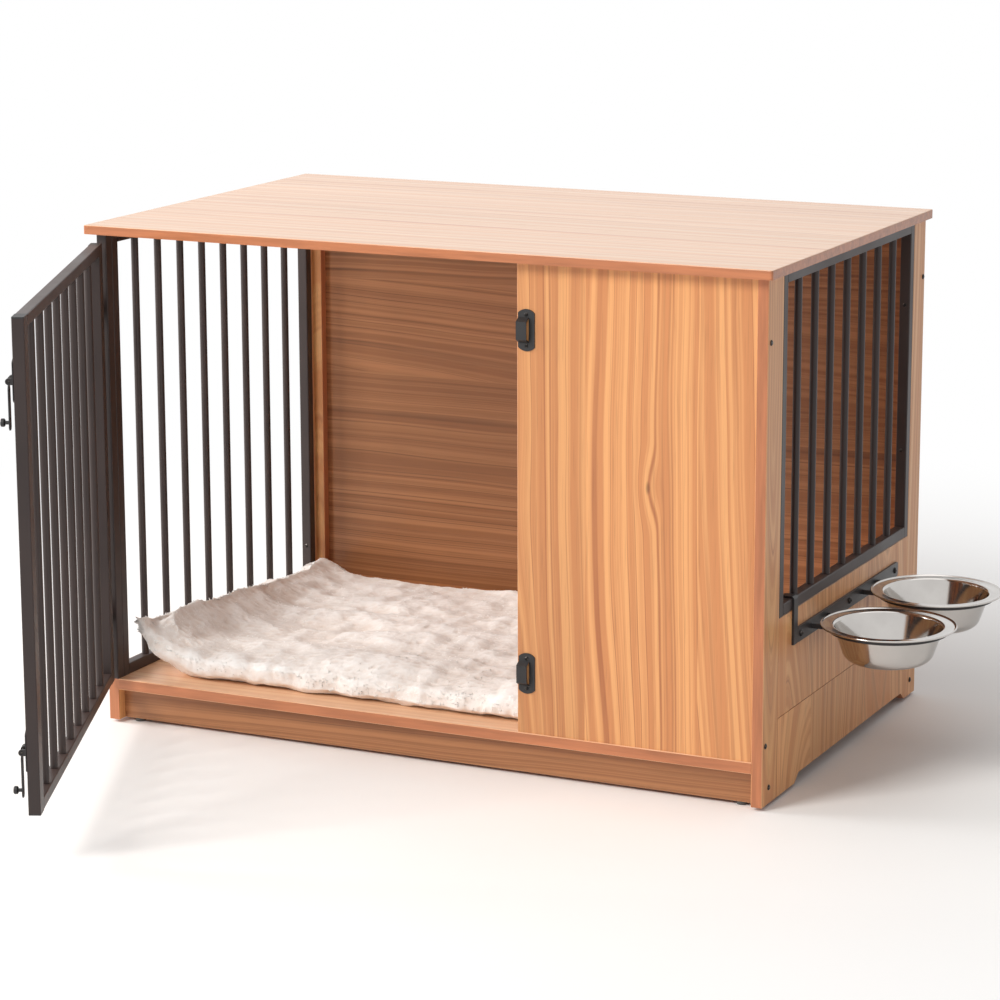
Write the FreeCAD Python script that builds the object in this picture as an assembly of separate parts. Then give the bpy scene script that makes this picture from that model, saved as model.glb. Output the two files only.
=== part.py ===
# Dog crate end table: a wood-faced cabinet with barred sides, a barred swing door with two
# slide-bolt latches, a fixed front panel, a bowl holder on the right side and a fleece pad.
# Frame: origin on the floor at the centre of the footprint, X to the right along the front,
# Y to the back, Z up. The door is drawn open, as it stands at rest.
import FreeCAD, Part
import math
import os

from FreeCAD import Vector

os.makedirs("parts", exist_ok=True)

# ---------------------------------------------------------------- driving sizes (mm)
# table top
TOP_LENGTH = 980.0
TOP_DEPTH = 616.0
TOP_THICK = 12.0
TOP_UNDER_Z = 678.0
TOP_CORNER_R = 3.0
TOP_EDGE_R = 1.2
SIDE_OVERHANG = 10.0
FRONT_OVERHANG = 16.0

# carcass
BOARD = 15.0
GLIDE_HEIGHT = 4.0
GLIDE_R = 10.0
GLIDE_INSET = 35.0
FLOOR_TOP_Z = 62.0
KICK_SETBACK = 15.5
EDGE_EASE = 0.8
LOWER_BOARD_TOP_Z = 107.5
WINDOW_BOTTOM_Z = 239.0
RIGHT_STILE_WIDTH = 52.0
RIGHT_REAR_STILE_WIDTH = 46.0
LEFT_REAR_STILE_WIDTH = 32.0
ARCH_HEIGHT = 11.0
ARCH_START = 117.0
ARCH_SLOPE = 15.0
BATTEN_WIDTH = 15.0

# square tube and round bars
TUBE = 15.0
TUBE_WALL = 1.2
TUBE_CORNER_R = 1.5
BAR_R = 5.0
RIGHT_BARS = 7
LEFT_BARS = 8
DOOR_BARS = 8

# front panel and door
PANEL_LEFT_X = 140.0
PANEL_SETBACK = 2.0
DOOR_SIDE_GAP = 2.0
DOOR_BOTTOM_GAP = 2.0
DOOR_TOP_GAP = 11.0
DOOR_STILE = 25.0
CAP_THICK = 2.0
CAP_PLUG = 8.0
DOOR_OPEN_ANGLE = 66.5

# hinges
HINGE_INSET = 89.0
HINGE_HEIGHT = 42.0
KNUCKLE_R = 3.5
PIN_R = 2.0
PIN_CLEARANCE = 0.05
KNUCKLE_GAP = 0.3
LEAF_THICK = 2.0
LEAF_DEPTH = 24.5
STRAP_HEIGHT = 28.0
STRAP_REACH = 18.0
JOGGLE = 4.0
FACE_GAP = 0.3

# latches and keepers
LATCH_LOW_INSET = 78.0
LATCH_HIGH_INSET = 76.0
LATCH_PLATE = 25.0
LATCH_PLATE_HEIGHT = 54.0
PLATE_THICK = 1.2
PLATE_BOW = 5.0
BOLT_R = 2.0
BOLT_CLEARANCE = 0.05
BOLT_OFF = 5.6
BOLT_TRAVEL = 12.0
BOLT_TIP_BACK = 0.2
LUG_THICK = 2.0
LUG_R = 4.0
COLLAR_R = 2.9
COLLAR_LENGTH = 1.0
LOOP_LENGTH = 6.0
LOOP_R = 3.8
LOOP_GAP = 0.25
ARM_DROP = 61.0
ARM_WIDTH = 10.0
KNOB_DROP = 52.0
KNOB_R = 5.0
KNOB_OUT = 11.0
KNOB_EASE = 1.2
KEEPER_WIDTH = 23.0
KEEPER_GAP = 2.0
STRAP_WIDTH = 14.5
STRAP_INSET = 0.5
TUNNEL_HALF = 11.0
TUNNEL_SLOPE = 5.0
TUNNEL_CLEARANCE = 0.4
KEEPER_SCREW = 20.0

# bowl holder and bowls
HOLDER_THICK = 3.0
HOLDER_DROP = 46.0
HOLDER_HEIGHT = 20.0
HOLDER_FRONT_Y = -188.0
HOLDER_REAR_Y = 206.0
HOLDER_SCREW_PITCH = 184.0
HOOK_WIDTH = 14.0
HOOK_DROP = 12.0
HOOK_BEND_R = 5.0
RING_BAND = 3.0
RING_HEIGHT = 6.0
RING_R = 76.0
RING_STAND_OFF = 17.0
RING_Y = (-105.0, 91.0)
STUB_SPREAD = 30.0
BOWL_RIM_R = 88.0
BOWL_BODY_R = 71.0
BOWL_FOOT_R = 42.0
BOWL_HEEL_R = 18.0
BOWL_HEIGHT = 48.0
BOWL_WALL = 1.0
BOWL_LIP_R = 1.3

# screws
SCREW_HEAD_R = 3.6
SCREW_HEAD_H = 1.8
SCREW_SHANK_R = 1.6
SCREW_CLEARANCE = 0.15
SIDE_SCREW_LENGTH = 26.0
SIDE_SCREW_ABOVE_FLOOR = 21.0
SIDE_SCREW_BELOW_TOP = 81.0
GRILLE_SCREW_LENGTH = 24.0
RIGHT_SCREW_ABOVE_RAIL = 123.0
RIGHT_SCREW_BELOW_TOP = 113.0
LEFT_SCREW_ABOVE_RAIL = 68.0
LEFT_SCREW_BELOW_TOP = 67.0
SMALL_HEAD_R = 2.6
SMALL_HEAD_H = 1.2
SMALL_SHANK_R = 1.1
SMALL_SCREW_LENGTH = 9.0
SCREW_END_GAP = 1.0
HEAD_SIDES = 12
SHANK_SIDES = 6

# fleece pad
PAD_RIGHT_X = 330.0
PAD_WALL_GAP = 3.5
PAD_DOOR_GAP = 1.0
PAD_BACK_GAP = 8.0
PAD_THICK = 30.0
PAD_EDGE_SHARE = 0.4
PAD_NOSE = 0.35
PAD_CROWN = 5.0
PAD_GAP = 0.3
PAD_CURL_RUN = 120.0
PAD_CURL_FRONT = 80.0
PAD_CURL_REAR = 32.0
PAD_SPANS = 8

# ---------------------------------------------------------------- places that follow
half_length = TOP_LENGTH / 2
half_depth = (TOP_DEPTH - FRONT_OVERHANG) / 2
side_out = half_length - SIDE_OVERHANG
side_in = side_out - BOARD
front_y = -half_depth
back_y = half_depth
back_in = back_y - BOARD
top_front_y = front_y - FRONT_OVERHANG
base_z = GLIDE_HEIGHT
floor_under_z = FLOOR_TOP_Z - BOARD

X = Vector(1, 0, 0)
Y = Vector(0, 1, 0)
Z = Vector(0, 0, 1)

parts = {}


# ---------------------------------------------------------------- helpers
def box(x0, x1, y0, y1, z0, z1):
    return Part.makeBox(x1 - x0, y1 - y0, z1 - z0, Vector(x0, y0, z0))


def rod(start, direction, length, radius):
    return Part.makeCylinder(radius, length, Vector(*start), Vector(*direction))


def prism(points, direction):
    """Extrude a closed polygon given as a list of 3-D points."""
    corners = [Vector(*p) for p in points]
    wire = Part.makePolygon(corners + corners[:1])
    return Part.Face(wire).extrude(Vector(*direction))


def edges_along(shape, along):
    """The straight edges of a shape that run along one axis."""
    found = []
    for edge in shape.Edges:
        line = edge.Vertexes[-1].Point - edge.Vertexes[0].Point
        if line.Length > 0 and abs(line.normalize().dot(along)) > 0.999:
            found.append(edge)
    return found


def rounded(shape, radius, along):
    """Round the edges of a box that run along one axis."""
    return shape.makeFillet(radius, edges_along(shape, along))


def board(x0, x1, y0, y1, z0, z1, along):
    """A board whose four long edges are eased, as an edge band leaves them."""
    plain = box(x0, x1, y0, y1, z0, z1)
    return plain.makeChamfer(EDGE_EASE, edges_along(plain, along))


def tube(x0, x1, y0, y1, z0, z1, along):
    """A square tube, open at both ends, with rounded outer corners."""
    outer = rounded(box(x0, x1, y0, y1, z0, z1), TUBE_CORNER_R, along)
    w = Vector(TUBE_WALL, TUBE_WALL, TUBE_WALL) - along * (TUBE_WALL + 1)
    inner = box(x0 + w.x, x1 - w.x, y0 + w.y, y1 - w.y, z0 + w.z, z1 - w.z)
    return outer.cut(inner)


def group(shapes):
    """Separate solids that share one node."""
    return shapes[0] if len(shapes) == 1 else Part.makeCompound(shapes)


def flats(radius, z, sides):
    """A regular polygon about the Z axis, drawn round a circle of the given radius."""
    outer = radius / math.cos(math.pi / sides)
    points = []
    for i in range(sides + 1):
        a = 2 * math.pi * i / sides
        points.append(Vector(outer * math.cos(a), outer * math.sin(a), z))
    return Part.makePolygon(points)


def stand(shape, seat, out):
    """Move a shape drawn at the origin along Z onto a seat, with Z turned to out."""
    shape.Placement = FreeCAD.Placement(Vector(*seat), FreeCAD.Rotation(Z, Vector(*out)))
    return shape


def screw(seat, out, length, head_r, head_h, shank_r):
    """A pan head screw: the head stands on the seat, the shank goes the other way.

    Heads have twelve flats and shanks six, because there are many and they are small.
    """
    rim = flats(head_r, 0, HEAD_SIDES)
    shoulder = flats(head_r * 0.94, head_h * 0.5, HEAD_SIDES)
    crown = flats(head_r * 0.55, head_h, HEAD_SIDES)
    head = Part.makeLoft([rim, shoulder, crown], True, True)
    shank = Part.Face(flats(shank_r, 0.2, SHANK_SIDES)).extrude(Vector(0, 0, -length - 0.2))
    return stand(head.fuse(shank).removeSplitter(), seat, out)


def screw_hole(seat, out, length, shank_r):
    """The hole that a screw shank goes into, a little wider and deeper than the shank."""
    deep = length + SCREW_END_GAP + 0.5
    hole = Part.Face(flats(shank_r + SCREW_CLEARANCE, 0.5, SHANK_SIDES))
    return stand(hole.extrude(Vector(0, 0, -deep)), seat, out)


def wood_screw(seat, out, length):
    return screw(seat, out, length, SCREW_HEAD_R, SCREW_HEAD_H, SCREW_SHANK_R)


def small_screw(seat, out, length):
    return screw(seat, out, length, SMALL_HEAD_R, SMALL_HEAD_H, SMALL_SHANK_R)


def drill(names, holes):
    for name in names:
        for hole in holes:
            parts[name] = parts[name].cut(hole)


# ---------------------------------------------------------------- table top
top = rounded(box(-half_length, half_length, top_front_y, back_y,
                  TOP_UNDER_Z, TOP_UNDER_Z + TOP_THICK), TOP_CORNER_R, Z)
upper_edges = [e for e in top.Edges
               if e.BoundBox.ZMin > TOP_UNDER_Z + TOP_THICK - 0.01]
parts["table_top"] = top.makeFillet(TOP_EDGE_R, upper_edges)

# ---------------------------------------------------------------- floor, kickboards, back
parts["floor_board"] = board(-side_in, side_in, front_y, back_y,
                             floor_under_z, FLOOR_TOP_Z, X)

kick_front = front_y + KICK_SETBACK
parts["front_kickboard"] = board(-side_in, side_in, kick_front, kick_front + BOARD,
                                 base_z, floor_under_z, X)
kick_rear = back_y - KICK_SETBACK
parts["rear_kickboard"] = board(-side_in, side_in, kick_rear - BOARD, kick_rear,
                                base_z, floor_under_z, X)
parts["floor_support"] = board(-BOARD / 2, BOARD / 2, kick_front + BOARD, kick_rear - BOARD,
                               base_z, floor_under_z, Y)
parts["back_panel"] = board(-side_in, side_in, back_in, back_y,
                            FLOOR_TOP_Z, TOP_UNDER_Z, X)


# ---------------------------------------------------------------- side boards with the arch
def arched(x0, x1, y0, y1, z1, arch_end):
    """A side board whose underside is cut back, so that only its ends come low."""
    a = front_y + ARCH_START
    b = arch_end
    outline = [(x0, y0, base_z), (x0, a, base_z), (x0, a + ARCH_SLOPE, base_z + ARCH_HEIGHT)]
    outline += [(x0, b - ARCH_SLOPE, base_z + ARCH_HEIGHT), (x0, b, base_z)]
    if y1 - b > 0.5:
        outline.append((x0, y1, base_z))
    outline += [(x0, y1, z1), (x0, y0, z1)]
    return prism(outline, (x1 - x0, 0, 0))


right_window_front = front_y + RIGHT_STILE_WIDTH
right_window_rear = back_y - RIGHT_REAR_STILE_WIDTH
parts["right_front_stile"] = board(side_in, side_out, front_y, right_window_front,
                                   base_z, TOP_UNDER_Z, Z)
parts["right_rear_stile"] = board(side_in, side_out, right_window_rear, back_y,
                                  base_z, TOP_UNDER_Z, Z)
parts["right_upper_board"] = board(side_in, side_out, right_window_front, right_window_rear,
                                   LOWER_BOARD_TOP_Z, WINDOW_BOTTOM_Z, Y)
parts["right_lower_board"] = arched(side_in, side_out, right_window_front,
                                    right_window_rear, LOWER_BOARD_TOP_Z, right_window_rear)

left_arch_end = back_y - LEFT_REAR_STILE_WIDTH
parts["left_base_board"] = arched(-side_out, -side_in, front_y, back_y,
                                  FLOOR_TOP_Z, left_arch_end)
parts["left_rear_stile"] = board(-side_out, -side_in, back_y - LEFT_REAR_STILE_WIDTH, back_y,
                                 FLOOR_TOP_Z, TOP_UNDER_Z, Z)
parts["rear_corner_batten"] = board(-side_in, -side_in + BATTEN_WIDTH, back_in - BATTEN_WIDTH,
                                    back_in, FLOOR_TOP_Z, TOP_UNDER_Z, Z)


# ---------------------------------------------------------------- barred side frames
def side_grille(side, x0, y0, y1, z0, bars):
    """Two posts, two rails and a row of round bars, welded flush, in a side's window."""
    x1 = x0 + TUBE
    parts[side + "_grille_front_post"] = tube(x0, x1, y0, y0 + TUBE, z0, TOP_UNDER_Z, Z)
    parts[side + "_grille_rear_post"] = tube(x0, x1, y1 - TUBE, y1, z0, TOP_UNDER_Z, Z)
    inner0 = y0 + TUBE
    inner1 = y1 - TUBE
    parts[side + "_grille_bottom_rail"] = tube(x0, x1, inner0, inner1, z0, z0 + TUBE, Y)
    parts[side + "_grille_top_rail"] = tube(x0, x1, inner0, inner1,
                                            TOP_UNDER_Z - TUBE, TOP_UNDER_Z, Y)
    gap = (inner1 - inner0 - bars * 2 * BAR_R) / (bars + 1)
    rods = []
    for i in range(bars):
        y = inner0 + gap + BAR_R + i * (gap + 2 * BAR_R)
        rods.append(rod((x0 + TUBE / 2, y, z0 + TUBE), (0, 0, 1),
                        TOP_UNDER_Z - z0 - 2 * TUBE, BAR_R))
    parts[side + "_grille_bars"] = group(rods)


side_grille("right", side_in, right_window_front, right_window_rear,
            WINDOW_BOTTOM_Z, RIGHT_BARS)
jamb_rear = front_y + TUBE
side_grille("left", -side_out, jamb_rear, left_arch_end, FLOOR_TOP_Z, LEFT_BARS)
parts["hinge_post"] = tube(-side_out, -side_in, front_y, jamb_rear,
                           FLOOR_TOP_Z, TOP_UNDER_Z, Z)

# ---------------------------------------------------------------- front panel
panel_y0 = front_y + PANEL_SETBACK
panel_y1 = panel_y0 + BOARD
parts["front_panel"] = board(PANEL_LEFT_X, side_in, panel_y0, panel_y1,
                             FLOOR_TOP_Z, TOP_UNDER_Z, Z)

# ---------------------------------------------------------------- door, drawn closed
door = {}
door_x0 = -side_in + DOOR_SIDE_GAP
door_x1 = PANEL_LEFT_X - DOOR_SIDE_GAP
door_z0 = FLOOR_TOP_Z + DOOR_BOTTOM_GAP
door_z1 = TOP_UNDER_Z - DOOR_TOP_GAP
door_y0 = panel_y0
door_y1 = door_y0 + TUBE

door["door_hinge_stile"] = tube(door_x0, door_x0 + DOOR_STILE, door_y0, door_y1,
                                door_z0 + CAP_THICK, door_z1 - CAP_THICK, Z)
door["door_free_stile"] = tube(door_x1 - DOOR_STILE, door_x1, door_y0, door_y1,
                               door_z0 + CAP_THICK, door_z1 - CAP_THICK, Z)
rail_x0 = door_x0 + DOOR_STILE
rail_x1 = door_x1 - DOOR_STILE
door["door_bottom_rail"] = tube(rail_x0, rail_x1, door_y0, door_y1,
                                door_z0, door_z0 + TUBE, X)
door["door_top_rail"] = tube(rail_x0, rail_x1, door_y0, door_y1,
                             door_z1 - TUBE, door_z1, X)
door_gap = (rail_x1 - rail_x0 - DOOR_BARS * 2 * BAR_R) / (DOOR_BARS + 1)
door_rods = []
for i in range(DOOR_BARS):
    bar_x = rail_x0 + door_gap + BAR_R + i * (door_gap + 2 * BAR_R)
    door_rods.append(rod((bar_x, door_y0 + TUBE / 2, door_z0 + TUBE), (0, 0, 1),
                         door_z1 - door_z0 - 2 * TUBE, BAR_R))
door["door_bars"] = group(door_rods)


def stile_cap(x0, z, inward):
    """A plastic cap: a plate over the tube's end and a plug that stands inside it."""
    plate_z = min(z, z + inward * CAP_THICK)
    plate = rounded(box(x0, x0 + DOOR_STILE, door_y0, door_y1, plate_z,
                        plate_z + CAP_THICK), TUBE_CORNER_R, Z)
    side = TUBE_WALL + SCREW_CLEARANCE
    plug_z = min(z + inward * CAP_THICK, z + inward * (CAP_THICK + CAP_PLUG))
    plug = box(x0 + side, x0 + DOOR_STILE - side, door_y0 + side, door_y1 - side,
               plug_z, plug_z + CAP_PLUG)
    return plate.fuse(plug).removeSplitter()


caps = []
for cap_x in (door_x0, door_x1 - DOOR_STILE):
    caps.append(stile_cap(cap_x, door_z0, 1))
    caps.append(stile_cap(cap_x, door_z1, -1))
door["door_stile_caps"] = group(caps)

# ---------------------------------------------------------------- hinges
# The knuckle stands outside the jamb's corner. The strap is cranked: it leaves the middle
# knuckle on the outer side, comes round in front of the jamb and joggles onto the door's face.
axis_x = -side_out - LEAF_THICK / 2 - 0.5 - KNUCKLE_R
axis_y = front_y + KNUCKLE_R
third = (HINGE_HEIGHT - 2 * KNUCKLE_GAP) / 3
leaf_x0 = -side_out - LEAF_THICK
leaf_holes = []
hinge_screws = []
strap_screws = []
leaves = []
straps = []
pins = []
door_face = door_y0
strap_y1 = front_y - FACE_GAP
strap_y0 = strap_y1 - LEAF_THICK


def knuckle(z0, height):
    barrel = rod((axis_x, axis_y, z0), (0, 0, 1), height, KNUCKLE_R)
    bore = rod((axis_x, axis_y, z0 - 1), (0, 0, 1), height + 2, PIN_R + PIN_CLEARANCE)
    return barrel, bore


for zc in (door_z0 + HINGE_INSET, door_z1 - HINGE_INSET):
    z_low = zc - HINGE_HEIGHT / 2
    z_mid = z_low + third + KNUCKLE_GAP
    z_top = z_mid + third + KNUCKLE_GAP
    plate = box(leaf_x0, -side_out, axis_y, axis_y + LEAF_DEPTH, z_low, z_low + HINGE_HEIGHT)
    notch = box(leaf_x0 - 1, -side_out + 1, axis_y - 1, axis_y + KNUCKLE_R + LEAF_THICK,
                z_mid - KNUCKLE_GAP, z_top)
    leaf = plate.cut(notch)
    for z0 in (z_low, z_top):
        barrel, bore = knuckle(z0, third)
        leaf = leaf.fuse(barrel).cut(bore)
    leaf = leaf.removeSplitter()
    for dz in (-HINGE_HEIGHT / 3, HINGE_HEIGHT / 3):
        seat = (leaf_x0, axis_y + LEAF_DEPTH * 0.62, zc + dz)
        hole = screw_hole(seat, (-1, 0, 0), SMALL_SCREW_LENGTH, SMALL_SHANK_R)
        leaf = leaf.cut(hole)
        leaf_holes.append(hole)
        hinge_screws.append(small_screw(seat, (-1, 0, 0), SMALL_SCREW_LENGTH))
    leaves.append(leaf)

    barrel, bore = knuckle(z_mid, third)
    web_x0 = axis_x - KNUCKLE_R
    web = box(web_x0, web_x0 + LEAF_THICK, strap_y0, axis_y, z_mid, z_mid + third)
    half = STRAP_HEIGHT / 2
    joggle_x = -side_in - 1.0
    outline = [(web_x0, strap_y0), (joggle_x, strap_y0),
               (joggle_x + JOGGLE, door_face - LEAF_THICK),
               (door_x0 + STRAP_REACH, door_face - LEAF_THICK),
               (door_x0 + STRAP_REACH, door_face), (joggle_x + JOGGLE, door_face),
               (joggle_x, strap_y1), (web_x0, strap_y1)]
    flap = prism([(x, y, zc - half) for x, y in outline], (0, 0, STRAP_HEIGHT))
    strap = barrel.fuse(web).fuse(flap).cut(bore).removeSplitter()
    for dz in (-half * 0.6, half * 0.6):
        seat = (door_x0 + STRAP_REACH * 0.62, door_face - LEAF_THICK, zc + dz)
        hole = screw_hole(seat, (0, -1, 0), SMALL_SCREW_LENGTH, SMALL_SHANK_R)
        strap = strap.cut(hole)
        door["door_hinge_stile"] = door["door_hinge_stile"].cut(hole)
        strap_screws.append(small_screw(seat, (0, -1, 0), SMALL_SCREW_LENGTH))
    straps.append(strap)

    pin = rod((axis_x, axis_y, z_low - 0.5), (0, 0, 1), HINGE_HEIGHT + 0.5, PIN_R)
    head = rod((axis_x, axis_y, z_low + HINGE_HEIGHT), (0, 0, 1), 1.5, KNUCKLE_R - 0.3)
    pins.append(pin.fuse(head).removeSplitter())

parts["hinge_leaves"] = group(leaves)
parts["hinge_pins"] = group(pins)
door["hinge_straps"] = group(straps)

# ---------------------------------------------------------------- latches, drawn on the closed door
# Each bolt runs along the door in two lugs. Its handle hangs on the bolt between two collars:
# lift the handle out, slide the bolt, let the handle drop.
LATCH_NAMES = ("lower", "upper")
latch_z = (door_z0 + LATCH_LOW_INSET, door_z1 - LATCH_HIGH_INSET)
bolt_y = door_face - BOLT_OFF
edge_x = door_x1 - (DOOR_STILE - LATCH_PLATE) / 2
plate_x0 = edge_x - LATCH_PLATE
plates = []
lugs = []
latch_screws = []


def bowed_plate(x0, x1, face_y, z0, z1):
    """A flat plate with bowed ends, standing on a face and growing toward -Y."""
    xm = (x0 + x1) / 2
    low = z0 + PLATE_BOW
    high = z1 - PLATE_BOW
    bottom = Part.Arc(Vector(x0, face_y, low), Vector(xm, face_y, z0), Vector(x1, face_y, low))
    top = Part.Arc(Vector(x1, face_y, high), Vector(xm, face_y, z1), Vector(x0, face_y, high))
    edges = [bottom.toShape(), Part.makeLine(Vector(x1, face_y, low), Vector(x1, face_y, high)),
             top.toShape(), Part.makeLine(Vector(x0, face_y, high), Vector(x0, face_y, low))]
    return Part.Face(Part.Wire(edges)).extrude(Vector(0, -PLATE_THICK, 0))


def handle(x0, zc):
    """A loop round the bolt, a tapered flat arm below it and a knob near the arm's end."""
    xm = x0 + LOOP_LENGTH / 2
    inner = BOLT_R + BOLT_CLEARANCE
    loop = rod((x0, bolt_y, zc), (1, 0, 0), LOOP_LENGTH, LOOP_R)
    arm_y0 = bolt_y - LOOP_R
    arm_y1 = bolt_y - inner - 0.05
    n = LOOP_LENGTH / 2
    w = ARM_WIDTH / 2
    neck = zc - LOOP_R - 2.0
    tip = zc - ARM_DROP
    outline = [(xm - n, arm_y0, zc), (xm - n, arm_y0, neck), (xm - w, arm_y0, neck - 6),
               (xm - w, arm_y0, tip + 3), (xm - w + 3, arm_y0, tip), (xm + w - 3, arm_y0, tip),
               (xm + w, arm_y0, tip + 3), (xm + w, arm_y0, neck - 6), (xm + n, arm_y0, neck),
               (xm + n, arm_y0, zc)]
    arm = prism(outline, (0, arm_y1 - arm_y0, 0))
    kz = zc - KNOB_DROP
    stem = rod((xm, arm_y1, kz), (0, -1, 0), KNOB_OUT, KNOB_R * 0.45)
    crown = rod((xm, arm_y0 - KNOB_OUT * 0.45, kz), (0, -1, 0), KNOB_OUT * 0.5, KNOB_R)
    ends = [e for e in crown.Edges if e.BoundBox.YLength < 0.01]
    crown = crown.makeChamfer(KNOB_EASE, ends)
    body = loop.fuse(arm).fuse(stem).fuse(crown)
    bore = rod((x0 - 1, bolt_y, zc), (1, 0, 0), LOOP_LENGTH + 2, inner)
    return body.cut(bore).removeSplitter()


bolts = {}
handles = {}
for name, zc in zip(LATCH_NAMES, latch_z):
    plate = bowed_plate(plate_x0, edge_x, door_face, zc - LATCH_PLATE_HEIGHT / 2,
                        zc + LATCH_PLATE_HEIGHT / 2)
    for x0 in (plate_x0, edge_x - LUG_THICK):
        foot = box(x0, x0 + LUG_THICK, bolt_y, door_face - PLATE_THICK,
                   zc - LUG_R, zc + LUG_R)
        lug = foot.fuse(rod((x0, bolt_y, zc), (1, 0, 0), LUG_THICK, LUG_R))
        bore = rod((x0 - 1, bolt_y, zc), (1, 0, 0), LUG_THICK + 2, BOLT_R + BOLT_CLEARANCE)
        lugs.append(lug.cut(bore).removeSplitter())
    for dz in (-LATCH_PLATE_HEIGHT * 0.33, LATCH_PLATE_HEIGHT * 0.33):
        seat = (plate_x0 + LATCH_PLATE / 2, door_face - PLATE_THICK, zc + dz)
        hole = screw_hole(seat, (0, -1, 0), SMALL_SCREW_LENGTH, SMALL_SHANK_R)
        plate = plate.cut(hole)
        door["door_free_stile"] = door["door_free_stile"].cut(hole)
        latch_screws.append(small_screw(seat, (0, -1, 0), SMALL_SCREW_LENGTH))
    plates.append(plate)

    start = plate_x0 + LUG_THICK + LOOP_GAP
    tip_x = edge_x - BOLT_TIP_BACK
    tail_x = plate_x0 - BOLT_TRAVEL - BOLT_TIP_BACK
    bolt = rod((tail_x, bolt_y, zc), (1, 0, 0), tip_x - tail_x, BOLT_R)
    ends = [e for e in bolt.Edges if abs(e.BoundBox.XMin - tip_x) < 0.01
            and abs(e.BoundBox.XMax - tip_x) < 0.01]
    bolt = bolt.makeChamfer(0.6, ends)
    for x0 in (start, start + COLLAR_LENGTH + 2 * LOOP_GAP + LOOP_LENGTH):
        bolt = bolt.fuse(rod((x0, bolt_y, zc), (1, 0, 0), COLLAR_LENGTH, COLLAR_R))
    bolts[name] = bolt.removeSplitter()
    handles[name] = handle(start + COLLAR_LENGTH + LOOP_GAP, zc)

door["latch_plates"] = group(plates)
door["latch_lugs"] = group(lugs)
door["door_hardware_screws"] = group(strap_screws + latch_screws)
for name in LATCH_NAMES:
    door[name + "_latch_bolt"] = bolts[name]
    door[name + "_latch_handle"] = handles[name]

for name, shape in door.items():
    shape.rotate(Vector(axis_x, axis_y, 0), Z, -DOOR_OPEN_ANGLE)
    parts[name] = shape

# ---------------------------------------------------------------- keepers on the fixed panel
keepers = []
keeper_screws = []
keeper_x0 = PANEL_LEFT_X + KEEPER_GAP
keeper_x1 = keeper_x0 + KEEPER_WIDTH
strap_x0 = keeper_x0 + STRAP_INSET
strap_x1 = strap_x0 + STRAP_WIDTH
roof_in = BOLT_OFF + BOLT_R + TUNNEL_CLEARANCE
roof_out = roof_in + PLATE_THICK
for zc in latch_z:
    plate = bowed_plate(keeper_x0, keeper_x1, panel_y0, zc - LATCH_PLATE_HEIGHT / 2,
                        zc + LATCH_PLATE_HEIGHT / 2)
    foot_out = TUNNEL_HALF + TUNNEL_SLOPE + PLATE_THICK
    foot_in = TUNNEL_HALF + TUNNEL_SLOPE
    roof = TUNNEL_HALF + PLATE_THICK / 2
    outer = [(-foot_out, 0), (-roof, roof_out), (roof, roof_out), (foot_out, 0)]
    inner = [(-foot_in, 0), (-TUNNEL_HALF, roof_in), (TUNNEL_HALF, roof_in), (foot_in, 0)]
    bridge = prism([(strap_x0, panel_y0 - n, zc + z) for z, n in outer], (STRAP_WIDTH, 0, 0))
    window = prism([(strap_x0 - 2, panel_y0 - n, zc + z)
                    for z, n in [(-foot_in, -1)] + inner + [(foot_in, -1)]],
                   (STRAP_WIDTH + 4, 0, 0))
    slot = box(strap_x0, strap_x1, panel_y0 - PLATE_THICK - 1, panel_y0 + 1,
               zc - foot_in, zc + foot_in)
    keeper = plate.cut(slot).fuse(bridge.cut(window)).removeSplitter()
    for dz in (-KEEPER_SCREW, KEEPER_SCREW):
        seat = ((keeper_x0 + keeper_x1) / 2, panel_y0 - PLATE_THICK, zc + dz)
        hole = screw_hole(seat, (0, -1, 0), SMALL_SCREW_LENGTH, SMALL_SHANK_R)
        keeper = keeper.cut(hole)
        parts["front_panel"] = parts["front_panel"].cut(hole)
        keeper_screws.append(small_screw(seat, (0, -1, 0), SMALL_SCREW_LENGTH))
    keepers.append(keeper)
parts["latch_keepers"] = group(keepers)
parts["keeper_screws"] = group(keeper_screws)

drill(["hinge_post", "left_grille_front_post"], leaf_holes)
parts["hinge_leaf_screws"] = group(hinge_screws)

# ---------------------------------------------------------------- bowl holder
holder_x1 = side_out + HOLDER_THICK
holder_bottom = WINDOW_BOTTOM_Z - HOLDER_DROP
holder_top = holder_bottom + HOLDER_HEIGHT
holder_mid_y = (HOLDER_FRONT_Y + HOLDER_REAR_Y) / 2
holder_mid_z = (holder_bottom + holder_top) / 2
bar = box(side_out, holder_x1, HOLDER_FRONT_Y, HOLDER_REAR_Y, holder_bottom, holder_top)
bar = rounded(bar, 4.0, X)
holder_screws = []
for offset in (-HOLDER_SCREW_PITCH, 0, HOLDER_SCREW_PITCH):
    seat = (holder_x1, holder_mid_y + offset, holder_mid_z)
    hole = screw_hole(seat, (1, 0, 0), SMALL_SCREW_LENGTH, SMALL_SHANK_R)
    bar = bar.cut(hole)
    parts["right_upper_board"] = parts["right_upper_board"].cut(hole)
    holder_screws.append(small_screw(seat, (1, 0, 0), SMALL_SCREW_LENGTH))
parts["bowl_holder_bar"] = bar
parts["bowl_holder_screws"] = group(holder_screws)

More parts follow.
